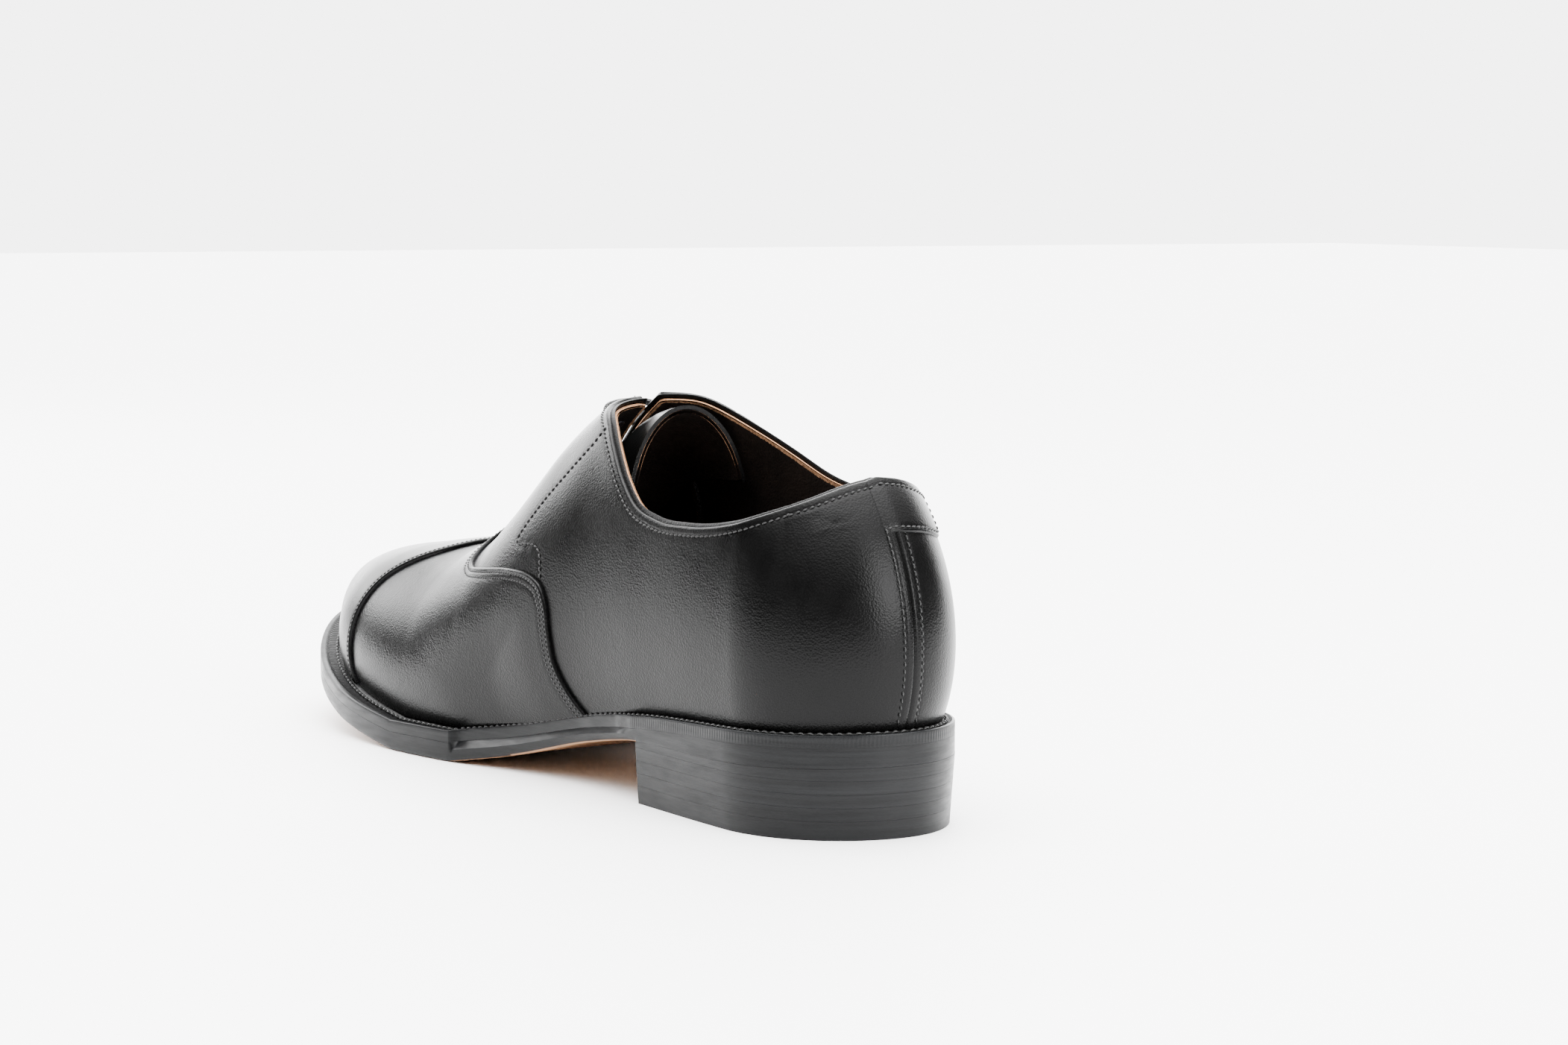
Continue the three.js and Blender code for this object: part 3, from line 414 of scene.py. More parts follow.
def loop_stations(count):
    """Sides and stations at even steps along the sole's outline, lateral side first."""
    sides, stations = [], []
    for side, edge in ((1, rough_edge[0]), (-1, rough_edge[1])):
        run = run_along(edge)
        steps = np.linspace(0, run[-1], count + 1)
        steps = steps[:-1] if side > 0 else steps[:0:-1]
        stations.append(np.interp(steps, run, even))
        sides.append(np.full(len(steps), side))
    return np.concatenate(sides)[:, None], np.concatenate(stations)[:, None]


def sole_ring(side, t, out, z):
    """A band round the outline: one section per station, out from the feather edge."""
    return np.concatenate([outline(side + 0 * out, t + 0 * out, out), z[..., None]], -1)


PLATE_COLUMNS = 24


def with_plates(ring, count):
    """The band's faces with the flat middle of its top and bottom filled in, the first and
    the last point of each section joined across from one side to the other."""
    faces = [grid_faces(*ring.shape[:2], loop=True)]
    points, lateral = [ring.reshape(-1, 3)], np.arange(count + 1)
    medial = np.concatenate([[0], np.arange(2 * count - 1, count - 1, -1)])
    for k in (0, ring.shape[1] - 1):
        share = np.linspace(0, 1, PLATE_COLUMNS)[None, :, None]
        plate = ring[lateral, k][:, None] * (1 - share) + ring[medial, k][:, None] * share
        start = sum(len(p) for p in points)
        faces.append(grid_faces(count + 1, PLATE_COLUMNS) + start)
        points.append(plate.reshape(-1, 3))
    return np.concatenate(points), np.concatenate(faces)


def group(name, outputs, inputs=()):
    """An empty node group with named sockets."""
    tree = bpy.data.node_groups.new(name, "ShaderNodeTree")
    for label, kind in inputs:
        tree.interface.new_socket(name=label, in_out="INPUT", socket_type=kind)
    for label, kind in outputs:
        tree.interface.new_socket(name=label, in_out="OUTPUT", socket_type=kind)
    return tree, tree.nodes.new("NodeGroupInput"), tree.nodes.new("NodeGroupOutput")


# Fibres: fine streaks of a cut leather edge, stretched along two axes.
FLOAT = "NodeSocketFloat"
fibres, fibres_in, fibres_out = group("fibres", [("Streak", FLOAT)],
                                      [("Scale", FLOAT), ("Stretch", "NodeSocketVector")])
fibre_place = node(fibres, "ShaderNodeVectorMath", {
    0: node(fibres, "ShaderNodeTexCoord").outputs["Object"], 1: fibres_in.outputs["Stretch"]},
    operation="MULTIPLY")
fibre_noise = node(fibres, "ShaderNodeTexNoise", {
    "Vector": fibre_place.outputs[0], "Scale": fibres_in.outputs["Scale"], "Detail": 5.0,
    "Roughness": 0.6})
fibres.links.new(fibre_noise.outputs["Fac"], fibres_out.inputs["Streak"])


def finish(name, roughness, metallic=0.0, specular=0.5):
    """A material with the numbers that are the same all over set on its shader."""
    made = bpy.data.materials.new(name)
    made.use_nodes = True
    shader = made.node_tree.nodes["Principled BSDF"]
    shader.inputs["Roughness"].default_value = roughness
    shader.inputs["Metallic"].default_value = metallic
    shader.inputs["Specular IOR Level"].default_value = specular
    return made, made.node_tree, shader


def bump(tree, height, depth, under=None):
    """The normal of a surface that stands up by depth, in metres, where height is 1."""
    inputs = {"Height": height, "Distance": depth, "Strength": 1.0}
    if under is not None:
        inputs["Normal"] = under
    return node(tree, "ShaderNodeBump", inputs).outputs["Normal"]


def place_group(tree, made, **values):
    """A node group placed in a material with its own values."""
    return node(tree, "ShaderNodeGroup", {k.replace("_", " "): v for k, v in values.items()},
                node_tree=made)


def wire(tree, shader, **outputs):
    """Joins outputs to the shader's sockets; an underscore in a name stands for a space."""
    for name, output in outputs.items():
        tree.links.new(output, shader.inputs[name.replace("_", " ")])


# Edge ink: black wax ironed into the trimmed edge, with the leather's layers just showing.
edge_ink, tree, shader = finish("edge_ink", 0.38, specular=0.13)
streak = place_group(tree, fibres, Scale=60.0, Stretch=(0.25, 0.25, 12.0)).outputs["Streak"]
scuff = place_group(tree, fibres, Scale=240.0, Stretch=(0.4, 0.4, 2.0)).outputs["Streak"]
wire(tree, shader,
     Base_Color=ramp(tree, streak, [(0.35, (0.0016, 0.0017, 0.0019)),
                                    (0.7, (0.0045, 0.0048, 0.0053))]),
     Roughness=ramp(tree, scuff, [(0.3, 0.3), (0.75, 0.48)]),
     Normal=bump(tree, scuff, 0.00005, bump(tree, streak, 0.00008)))

# Natural sole leather: smooth, tan, a little darker in its fibres.
sole_tan, tree, shader = finish("sole_tan", 0.5)
streak = place_group(tree, fibres, Scale=90.0, Stretch=(0.5, 1.0, 1.0)).outputs["Streak"]
wire(tree, shader,
     Base_Color=ramp(tree, streak, [(0.3, (0.20, 0.095, 0.042)), (0.7, (0.33, 0.18, 0.09))]),
     Roughness=ramp(tree, streak, [(0.3, 0.42), (0.7, 0.6)]),
     Normal=bump(tree, streak, 0.00006))

# Welt wax and painted shade: the stitched band's unpolished black wax, coloured a little darker than
# the edge ink as painted shade in the band's trough.
welt_wax_and_shade, tree, shader = finish("welt_wax_and_shade", 0.55, specular=0.12)
crumb = place_group(tree, fibres, Scale=900.0, Stretch=(1.0, 1.0, 1.0)).outputs["Streak"]
wire(tree, shader,
     Base_Color=ramp(tree, crumb, [(0.3, 0.0012), (0.75, 0.004)]),
     Roughness=ramp(tree, crumb, [(0.3, 0.45), (0.75, 0.65)]),
     Normal=bump(tree, crumb, 0.0001))

OUTSOLE_STATIONS = 900
side, t = loop_stations(OUTSOLE_STATIONS)
x = station_x(t)
# A section, from the top plate out, down the wall and back under: how far down the wall,
# as a share, and how far back from the edge, in mm.
wall_down = np.array([0, 0, 0, 0, .02, .2, .4, .6, .78, .9, .97, 1, 1, 1])
wall_back = np.array([12, 4, 1, .15, 0, 0, 0, 0, .02, .2, .5, .95, 4, 12])
square = np.where((wall_back < 1) & (x < HEEL_LENGTH), 0, 1)  # no rounding over the heel
inset = wall_back * square + bevel(x) * wall_down ** 2.2
inset = inset + set_back(x) * (1 - smooth(wall_down / .45))
out = welt_reach(x) - inset
z_low, z_high = sole_bottom(x), sole_top(x) + GAP * .95
ring = sole_ring(side, t, out, z_high + (z_low - z_high) * wall_down)
points, faces = with_plates(ring, OUTSOLE_STATIONS)
middle = points[faces].mean(1)
corners = points[faces]
across = np.cross(corners[:, 2] - corners[:, 0], corners[:, 3] - corners[:, 1])
flat_face = np.abs(unit(across)[:, 2]) > .8
underside = flat_face & (middle[:, 2] < (sole_bottom(middle[:, 0]) + sole_top(middle[:, 0])) / 2)
outsole = put("outsole_leather", points, faces, [edge_ink, sole_tan], second=underside)
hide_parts("outsole")

# ---- Welt ----
# A leather strip sewn round the whole shoe. Its top carries the sole stitching in a
# fudge-wheeled band next to the upper, and outside the band a plain polished rim. Round
# the heel seat its edge is wheeled as well.
WELT_STATIONS = 1500
RIB_PITCH, RIB_HIGH = 1.5, 0.22  # the fudge wheel's marks
TICK_PITCH, TICK_DEEP = 1.15, 0.1  # the seat wheel's marks
STITCH_PITCH = 2.6
side, t = loop_stations(WELT_STATIONS)
x = station_x(t)
edge = outline(side[:, 0], t[:, 0], welt_reach(x[:, 0]))
run = run_along(edge)[:, None]
reach = welt_reach(x) - set_back(x)
band = reach * .8  # the band's outer end
# Across the band, in mm where it is negative, under the upper, and else in shares of it.
share = np.array([-9, -1.2, .02, .1, .16, .45, .75, .86, .93, 1.0])
across_band = np.where(share < 0, share, share * band)
ribs = RIB_HIGH * (.5 + .5 * np.cos(2 * np.pi * run / RIB_PITCH))
trough = np.array([0, 0, 0, -.3, -.7, -.8, -.75, -.4, 0, .05])
ribbed = np.array([0, 0, 0, 0, .6, 1, .8, .1, 0, 0])
top = trough + ribbed * ribs
rim_in = np.array([.75, .3, .08, 0])  # the polished rim and its rounded corner
rim_down = np.array([-.03, .02, .2, .5])
wall_in = np.array([0, 0, .05, .05, 2, 17])
wall_drop = np.array([1.2, 2.2, WELT - .2, WELT, WELT, WELT])
seat = smooth((HEEL_LENGTH + 6 - x) / 6)
ticks = TICK_DEEP * seat * (.5 - .5 * np.cos(2 * np.pi * run / TICK_PITCH))
out = np.concatenate([across_band, reach - rim_in, reach - wall_in - ticks * (wall_in < .1)
                      * (wall_drop < 3)], 1)
z = feather_z(x) - GAP + np.concatenate([top, -rim_down + 0 * x, -wall_drop + 0 * x], 1)
ring = sole_ring(side, t, out, z)
ring_faces = grid_faces(*ring.shape[:2], loop=True)
rows, columns = ring.shape[:2]
first = np.arange(rows) * columns
closing = np.stack([first, np.roll(first, -1), np.roll(first, -1) + columns - 1,
                    first + columns - 1], -1)
in_band = np.zeros((rows, columns - 1), bool)
in_band[:, :len(trough) - 1] = True
in_band = np.concatenate([in_band.ravel(), np.zeros(len(closing), bool)])
# The band's faces take the darker wax colour, partly painted shade.
welt = put("welt_strip", ring.reshape(-1, 3), np.concatenate([ring_faces, closing]),
           [edge_ink, welt_wax_and_shade], second=in_band)
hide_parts("welt")

THREAD_SIDES, THREAD_RINGS = 6, 6


def stitches(line, up, pitch, length, radius, rise=0.25, slant=0.0):
    """Threads laid along a line at even steps. Each is a spindle that arches over its two
    holes: its radius goes as a circle along it, and its height as a parabola."""
    run = run_along(line)
    at = np.arange(pitch / 2, run[-1], pitch)
    spot, top, way = (np.stack([np.interp(at, run, v[:, k]) for k in range(3)], -1)
                      for v in (line, up, np.gradient(line, axis=0)))
    way, top = unit(way), unit(top)
    beside_way = unit(np.cross(top, way))
    way = unit(way + slant * beside_way)
    u = np.linspace(-1, 1, THREAD_RINGS)[:, None]
    around = np.linspace(0, 2 * np.pi, THREAD_SIDES, endpoint=False)[None]
    thick = radius * np.sqrt(1 - u ** 2)
    shape = np.stack([length / 2 * u + 0 * around, thick * np.cos(around),
                      thick * np.sin(around) + rise * (1 - u ** 2) - rise * .5], -1)
    frames = np.stack([way, beside_way, top], 1)
    points = spot[:, None, None] + np.einsum("rsk,nkc->nrsc", shape, frames)
    at_one = np.arange(THREAD_RINGS * THREAD_SIDES).reshape(THREAD_RINGS, THREAD_SIDES)
    turned = np.roll(at_one, -1, 1)
    quads = np.stack([at_one[:-1], turned[:-1], turned[1:], at_one[1:]], -1).reshape(-1, 4)
    starts = np.arange(len(at)) * THREAD_RINGS * THREAD_SIDES
    return points.reshape(-1, 3), (quads[None] + starts[:, None, None]).reshape(-1, 4)


def put_stitches(name, rows, finish_used, **kind):
    """All the rows of one seam as one piece."""
    points, faces, start = [], [], 0
    for line, up in rows:
        p, f = stitches(line, up, **kind)
        points.append(p)
        faces.append(f + start)
        start += len(p)
    made = put(name, np.concatenate(points), np.concatenate(faces), [finish_used])


thread, tree, shader = finish("thread", 0.5, specular=0.3)
twist = node(tree, "ShaderNodeTexNoise", {
    "Vector": node(tree, "ShaderNodeTexCoord").outputs["Object"], "Scale": 5200.0})
wire(tree, shader,
     Base_Color=ramp(tree, twist.outputs["Fac"], [(0.3, 0.002), (0.7, 0.008)]),
     Normal=bump(tree, twist.outputs["Fac"], 0.00006))

line = sole_ring(side, t, reach * .3, feather_z(x) - GAP - .12)[:, 0]
put_stitches("welt_stitching", [(line, np.tile([0., 0, 1], (len(line), 1)))], thread,
             pitch=STITCH_PITCH, length=2.3, radius=.42, rise=.35)

# ---- Heel ----
# A rand, three lifts and a top piece, all leather, nailed up, trimmed together with a
# slight taper and a hollow breast, inked black on the edge and left natural underneath.
HEEL_TAPER, BREAST_CURVE = 1.2, 2.5
TOP_PIECE, RAND, LIFTS = 5.2, 1.4, 3
JOINT = 0.05  # the line that shows between two layers


def heel_grid(z, stations=70, columns=26):
    """A level of the heel, from side to side at each station. The outline tapers towards
    the ground, and the breast is hollow, as a parabola across."""
    t = np.linspace(0, 1, stations)[:, None] ** 1.4 * station_t(HEEL_LENGTH)
    x = station_x(t)
    out = welt_reach(x) - HEEL_TAPER * (1 - z(x) / HEEL_HEIGHT)
    ends = [outline(s + 0 * t, t, out) for s in (1, -1)]
    share = np.linspace(0, 1, columns)[None, :, None]
    flat = ends[0] * (1 - share) + ends[1] * share
    half = LAST_WIDTH * lateral_width(HEEL_LENGTH / LAST_LENGTH)
    bow = np.maximum(0, 1 - (flat[..., 1] / half) ** 2)
    moved = flat[..., 0] - BREAST_CURVE * bow * smooth(flat[..., 0] / HEEL_LENGTH)
    return np.stack([moved, flat[..., 1], z(x) + 0 * moved], -1)


room_for_lifts = sole_bottom(float(HEEL_LENGTH)) - TOP_PIECE - RAND
lift = room_for_lifts / LIFTS
levels = [lambda x: 0 * x, lambda x: TOP_PIECE + 0 * x]
levels += [lambda x, k=k: TOP_PIECE + k * lift + 0 * x for k in range(1, LIFTS + 1)]
levels.append(sole_bottom)
heel_names = ["top_piece"] + [f"lift_{k + 1}" for k in range(LIFTS)] + ["rand"]
for k, name in enumerate(heel_names):
    points, faces = shell(heel_grid(lambda x: levels[k + 1](x) - JOINT), heel_grid(levels[k]))
    bottom_face = points[faces][:, :, 2].max(1) < .01
    made = put(f"heel_{name}_leather", points, faces, [edge_ink, sole_tan], second=bottom_face)
    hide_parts(f"heel_{name}")

# ---- Calf ----
# Box calf: a smooth black hide with a fine pebble, pulled tight over the last and polished.
grain, grain_in, grain_out = group("grain", [("Height", FLOAT), ("Tone", FLOAT)],
                                   [("Pebble", FLOAT), ("Cloud", FLOAT)])
where = node(grain, "ShaderNodeTexCoord").outputs["Object"]
pebble = node(grain, "ShaderNodeTexVoronoi", {
    "Vector": where, "Scale": grain_in.outputs["Pebble"], "Randomness": 1.0}, feature="F1")
cloud = node(grain, "ShaderNodeTexNoise", {
    "Vector": where, "Scale": grain_in.outputs["Cloud"], "Detail": 4.0, "Roughness": 0.55})
grain.links.new(pebble.outputs["Distance"], grain_out.inputs["Height"])
grain.links.new(cloud.outputs["Fac"], grain_out.inputs["Tone"])

calf, tree, shader = finish("black_calf", 0.3, specular=0.085)
fine = place_group(tree, grain, Pebble=1700.0, Cloud=70.0)
pores = place_group(tree, grain, Pebble=520.0, Cloud=320.0)
wire(tree, shader,
     Base_Color=ramp(tree, fine.outputs["Tone"], [(0.3, 0.0008), (0.75, 0.0018)]),
     Roughness=ramp(tree, fine.outputs["Tone"], [(0.3, 0.26), (0.75, 0.34)]),
     Normal=bump(tree, fine.outputs["Height"], 0.00005, bump(
         tree, pores.outputs["Tone"], 0.00001, bump(tree, fine.outputs["Tone"], 0.0001))))

# ---- Seams of the upper ----
# Where each piece of the upper ends: the vamp's edge over the quarters, the cap's edge over
# the vamp, the topline and the facings.
LEATHER, RAISE, TURN = 1.2, 1.25, 0.75  # a ply, its height over another, its turned edge
TOP, THROAT = .468, .548
FACING_GAP, THROAT_GAP = 4.6, 2.4
seam_t = curve([0, .086, .144, .206, .277, .315, .347, .379, .43, .48, .54, .6, .66, .76, 1],
               [.417, .431, .438, .441, .4455, .453, .467, .487, .515, .538, .556, .564, .566,
                .56, THROAT])
cap_t = curve([0, .2, .38, .5, .615, .72, 1], [.703, .707, .7, .69, .675, .66, .648])
collar_shares = {
    1: curve([0, .07, .137, .183, .23, .29, .331, .361, .38, .398, .42, .468],
             [.712, .69, .648, .616, .585, .57, .586, .637, .712, .795, .89, 1.02]),
    -1: curve([0, .07, .15, .2, .25, .3, .34, .373, .4, .42, .44, .468],
              [.712, .7, .664, .64, .632, .648, .695, .775, .855, .92, .985, 1.03])}


def facing_half(t):
    """Half the gap between the facings: it closes towards the throat."""
    share = np.clip((t - TOP) / (THROAT - TOP), 0, 1)
    return (FACING_GAP + (THROAT_GAP - FACING_GAP) * share) / 2


def edge_q(side, t):
    """The upper's top edge at station t: the topline behind the facings' top corners, and
    the facings' own edge in front of them."""
    facing = q_from_ridge(side, t, facing_half(t))
    height = LAST_HEIGHT * collar_shares[side](np.minimum(t, TOP))
    topline = q_at_height(side, t, height)
    return np.where(t > TOP - .001, facing, np.where(t < TOP - .06, topline,
                                                     np.minimum(topline, facing)))


def beside(side, t, q, d):
    """A line on the skin moved sideways by d: the step across it, solved for t and q from
    the skin's two slopes. Positive d is to the left of the line's way, seen from outside."""
    by_t, by_q = slopes(side, t, q)
    way = by_t * np.gradient(t)[:, None] + by_q * np.gradient(q)[:, None]
    over = unit(np.cross(normal(side, t, q), way)) * np.asarray(d)[..., None]
    a, b, c = ((u * v).sum(-1) for u, v in ((by_t, by_t), (by_t, by_q), (by_q, by_q)))
    e, f = (over * by_t).sum(-1), (over * by_q).sum(-1)
    det = a * c - b * b
    return t + (e * c - b * f) / det, q + (a * f - b * e) / det


def distance(points, line):
    """Each point's distance to a line, square to the line at its nearest point."""
    flat = points.reshape(-1, 3)
    near = ((line ** 2).sum(-1) - 2 * flat @ line.T).argmin(1)
    way = unit(np.gradient(line, axis=0))[near]
    gap = flat - line[near]
    square = gap - (gap * way).sum(-1, keepdims=True) * way
    return np.linalg.norm(square, axis=-1).reshape(points.shape[:-1])


def turned(d, high):
    """Height of a turned edge, d from where it ends: a quarter round, then flat."""
    return high - TURN + np.sqrt(np.maximum(0, TURN ** 2 - (TURN - np.minimum(d, TURN)) ** 2))


def furrow(d, at, deep=.16, wide=.5):
    """The groove that a stitch row pulls into the leather, as a bell curve across it."""
    return -deep * np.exp(-((d - at) / wide) ** 2)


def leather(side, t, q, high, low):
    """Outer and inner grids of a ply: the skin moved out by high and by low. What would
    sink under the welt is kept at its crease."""
    base, way = face(side, t, q), normal(side, t, q)
    grids = [base + way * np.asarray(h)[..., None] for h in (high, low)]
    for g in grids:
        g[..., 2] = np.maximum(g[..., 2], feather_z(g[..., 0]) - .7)
    return grids


def halves(count):
    """Columns across the ridge, lateral feather edge to medial: sides and q."""
    u = np.linspace(-1, 1, 2 * count + 1)
    return np.where(u < 0, 1, -1), 1 - np.abs(u)


def on_skin(side, t, q, high):
    """A line at a height over the skin, with the skin's direction out."""
    way = normal(side, t, q)
    return face(side, t, q) + way * np.asarray(high)[..., None], way


# Distances of the grid's rows from a turned edge; the first two make its upright side.
NEAR = np.array([0, 0, .05, .14, .28, .46, .68, .95, 1.25, 1.6, 2, 2.5, 3.1, 3.7, 4.4, 5.5, 7, 9])
LAP, RAMP = 10, 24  # how far one ply lies on the next, and how it comes down after that
THREAD_SUNK = .12  # how deep the threads lie in the furrow of a lapped seam


def forward_grid(edge, last, rows):
    """Sides, t and q of a grid from a turned edge forward: close rows at the edge, then even
    ones to the stations that last gives for q and the skin's speed in t."""
    side, q = (v[None] for v in halves(130))
    start = edge(q)
    speed = np.linalg.norm(slopes(side, start, q)[0], axis=-1)
    near = start + NEAR[:, None] / speed
    rest = np.linspace(0, 1, rows)[1:, None]
    t = np.concatenate([near, near[-1:] + (last(q, speed) - near[-1:]) * rest])
    return np.broadcast_to(side, t.shape), t, np.broadcast_to(q, t.shape)


def lapped(edge, side, t, q, rows):
    """Heights over the skin of a ply that lies on the one behind: turned at its edge, down
    to the skin past the lap, with a groove for each stitch row."""
    line_side, line_q = halves(600)
    d = distance(face(side, t, q), face(line_side, edge(line_q), line_q))
    high = turned(d, RAISE * (1 - smooth((d - LAP) / RAMP)))
    for row in rows:
        high = high + furrow(d, row)
    high[0] = -.1
    return high


def lapped_threads(edge, rows):
    """Stitch lines beside a turned edge, on both sides of the ridge."""
    lines = []
    q = np.linspace(.01, 1, 500)
    for row in rows:
        for s in (1, -1):
            t, moved_q = beside(s, edge(q), q, s * row)
            lines.append(on_skin(s, t, np.minimum(moved_q, 1), RAISE - THREAD_SUNK + 0 * q))
    return lines


# ---- Vamp ----
# Covers the forefoot, lies over both quarters along its curved seam, and is sewn down with
# two close rows. Under the toe cap it goes on for a finger's width.
VAMP_ROWS = (1.5, 3.2)
side, t, q = forward_grid(seam_t, lambda q, speed: cap_t(q) + LAP / speed, 60)
high = lapped(seam_t, side, t, q, VAMP_ROWS)
outer, inner = leather(side, t, q, high, high - LEATHER)
vamp = put("vamp_leather", *shell(outer, inner), [calf])
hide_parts("vamp")

put_stitches("vamp_stitching", lapped_threads(seam_t, VAMP_ROWS), thread, pitch=1.45,
             length=1.25, radius=.24, slant=.12)

# ---- Toe cap ----
# A straight cap over the vamp's end, with its edge turned and one row of stitches.
CAP_ROWS = (1.5,)
side, t, q = forward_grid(cap_t, lambda q, speed: 1, 70)
high = lapped(cap_t, side, t, q, CAP_ROWS)
outer, inner = leather(side, t, q, high, high - LEATHER)
cap = put("toe_cap_leather", *shell(outer, inner), [calf])
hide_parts("toe_cap")
put_stitches("cap_stitching", lapped_threads(cap_t, CAP_ROWS), thread, pitch=1.5, length=1.3,
             radius=.24, slant=.12)

# ---- Quarters ----
# Two sides that meet in a closed seam down the back of the heel, with a row of stitches on
# each side of it, and carry the facings. The topline and the facings' edges are turned in.
BACK_ROW = 2.9
TOPLINE_ROW, HOOK_DEEP = 2.6, .18
TUCK, LINING_TUCK = .022, .008  # how far quarters and lining reach under the vamp
SEAM_TOP = .66  # q where the seam turns back, over which its tuck runs straight on
HOLE_RADIUS = 1.45
PUNCH_SIDES, PUNCH_HALF = 24, 5
THREAD_HIGH = .02  # of a row on a single ply
EYELET_PAIRS, EYELET_SPACING, EYELET_FIRST, EYELET_INSET = 5, 10.2, 5.5, 8.5
EDGE_END = .60
hook_step = np.linspace(0, 1, 12)
hook_t = curve(hook_step, [.407, .4155, .4236, .432, .449, .468, .484, .4905, .486, .4665,
                           .4575, .4535])
hook_q = curve(hook_step, [.75, .7, .651, .607, .561, .519, .481, .458, .437, .409, .379, .322])

edge_t = np.linspace(0, EDGE_END, 900)
edge_line = {s: edge_q(s, edge_t) for s in (1, -1)}


def top_q(side, t):
    """The top edge's q, read from the worked out line."""
    lateral, medial = (np.interp(np.abs(t), edge_t, edge_line[s]) for s in (1, -1))
    return np.where(side > 0, lateral, medial)


def down_grid(side, last_t, stations, rows, rise=0.0):
    """t and q of a grid drawn down from the top edge, or from a rise over it: close rows at
    the edge, then even ones to the feather edge."""
    t = np.linspace(0, last_t, stations)[None]
    top = top_q(side, t)
    speed = np.linalg.norm(slopes(side, t, top)[1], axis=-1)
    near = top + (rise - NEAR[:, None]) / speed
    rest = np.linspace(0, 1, rows)[1:, None]
    q = np.concatenate([near, near[-1:] * (1 - rest)])
    return np.broadcast_to(t, q.shape), q


def behind_vamp(t, q, tuck):
    """Which of a grid's faces lie behind the vamp's seam, or under it by no more than tuck."""
    return (t < seam_t(np.minimum(q, SEAM_TOP)) + tuck)[:-1, 1:]


def down_facing(side, run_to):
    """The station at a distance down the facing from its top corner."""
    t = np.linspace(TOP, EDGE_END, 600)
    return np.interp(run_to, run_along(face(side, t, .9 + 0 * t)), t)


eyelets = {}
for s in (1, -1):
    at = down_facing(s, EYELET_FIRST + EYELET_SPACING * np.arange(EYELET_PAIRS - 1, -1, -1))
    eyelets[s] = (at, q_from_ridge(s, at, facing_half(at) + EYELET_INSET))

CREASES = [((.075, .535), (.165, .475), .16), ((.06, .512), (.13, .468), .12),
           ((.10, .50), (.19, .43), .1)]  # wrinkles below the topline: ends and depth
CREASE_WIDTH, BANK_AT, BANK_WIDTH = .0045, .012, .008  # in q: a wrinkle and its two banks
SEAM_RIDGE, SEAM_SPLIT = .22, .45  # the back seam stands up, with the line between its edges


def quarter(side_sign, word):
    """One quarter, drawn down from its top edge, with the grooves of its stitch rows, the
    ridge of the back seam and, on the lateral side, a few soft wrinkles."""
    t, q = down_grid(side_sign, EDGE_END, 300, 70)
    side = side_sign + 0 * t
    skin = face(side, t, q)
    border = face(side_sign, edge_t, edge_line[side_sign])
    d = distance(skin, border)
    d_back = distance(skin, face(side_sign, 0 * edge_t, np.linspace(0, 1, len(edge_t))))
    u = np.linspace(0, 1, 400)
    d_hook = distance(skin, face(side_sign, hook_t(u), hook_q(u)))
    # The hook's groove fades out past the hook's own stretch.
    in_hook = smooth((t - .40) / .01) * smooth((.51 - t) / .01) * smooth((q - .3) / .03)
    high = turned(d, 0.) + furrow(d, TOPLINE_ROW) + furrow(d_back, BACK_ROW, .12)
    high = high + in_hook * furrow(d_hook, 0, HOOK_DEEP, .45)
    high = high + SEAM_RIDGE * smooth((BACK_ROW - d_back) / .8)
    high = high - SEAM_SPLIT * np.exp(-(d_back / .35) ** 2)
    for (t0, q0), (t1, q1), deep in CREASES if side_sign > 0 else ():
        along = np.clip(((t - t0) * (t1 - t0) + (q - q0) * (q1 - q0))
                        / ((t1 - t0) ** 2 + (q1 - q0) ** 2), 0, 1)
        wave = .004 * np.sin(9 * along + 40 * t0)
        off = np.hypot((t - t0 - along * (t1 - t0)) * 2.2, q - q0 - along * (q1 - q0) - wave)
        fade = np.sin(np.pi * np.clip(along, .02, .98)) ** .6
        high = high - deep * fade * np.exp(-(off / CREASE_WIDTH) ** 2)
        high = high + .6 * deep * fade * np.exp(-((off - BANK_AT) / BANK_WIDTH) ** 2)
    high[0] = -LEATHER + .1
    outer, inner = leather(side, t, q, high, -LEATHER + 0 * high)
    made = put(f"quarter_{word}_leather", *shell(outer, inner, behind_vamp(t, q, TUCK)), [calf])
    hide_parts(f"quarter_{word}")
    return made


def punch(centre, axis, radius, start):
    """A round cutter along an axis: its points, and its faces, which count from start."""
    around = np.linspace(0, 2 * np.pi, PUNCH_SIDES, endpoint=False)[:, None]
    u = unit(np.cross(axis, [0, 1, .3]))
    v = np.cross(axis, u)
    disc = centre + radius * (np.cos(around) * u + np.sin(around) * v)
    points = np.concatenate([disc - PUNCH_HALF * axis, disc + PUNCH_HALF * axis])
    i = np.arange(PUNCH_SIDES) + start
    sides = np.stack([i, np.roll(i, -1), np.roll(i, -1) + PUNCH_SIDES, i + PUNCH_SIDES], -1)
    return points, [*sides.tolist(), i[::-1].tolist(), (i + PUNCH_SIDES).tolist()]


def cut_holes(made, side_sign, radius):
    """Punches the eyelet holes through a piece."""
    at, hole_q = eyelets[side_sign]
    centres, axes = face(side_sign, at, hole_q), normal(side_sign, at, hole_q)
    points, faces = [], []
    for k in range(EYELET_PAIRS):
        p, f = punch(centres[k], axes[k], radius, k * 2 * PUNCH_SIDES)
        points.append(p)
        faces += f
    mesh = bpy.data.meshes.new("punches")
    mesh.from_pydata(((np.concatenate(points) + PLACE) / 1000).tolist(), [], faces)
    tool = bpy.data.objects.new("punches", mesh)
    bpy.context.collection.objects.link(tool)
    work = made.modifiers.new("holes", "BOOLEAN")
    work.object, work.operation, work.solver = tool, "DIFFERENCE", "EXACT"
    baked = bpy.data.meshes.new_from_object(made.evaluated_get(
        bpy.context.evaluated_depsgraph_get()))
    made.modifiers.clear()
    made.data = baked
    bpy.data.objects.remove(tool)


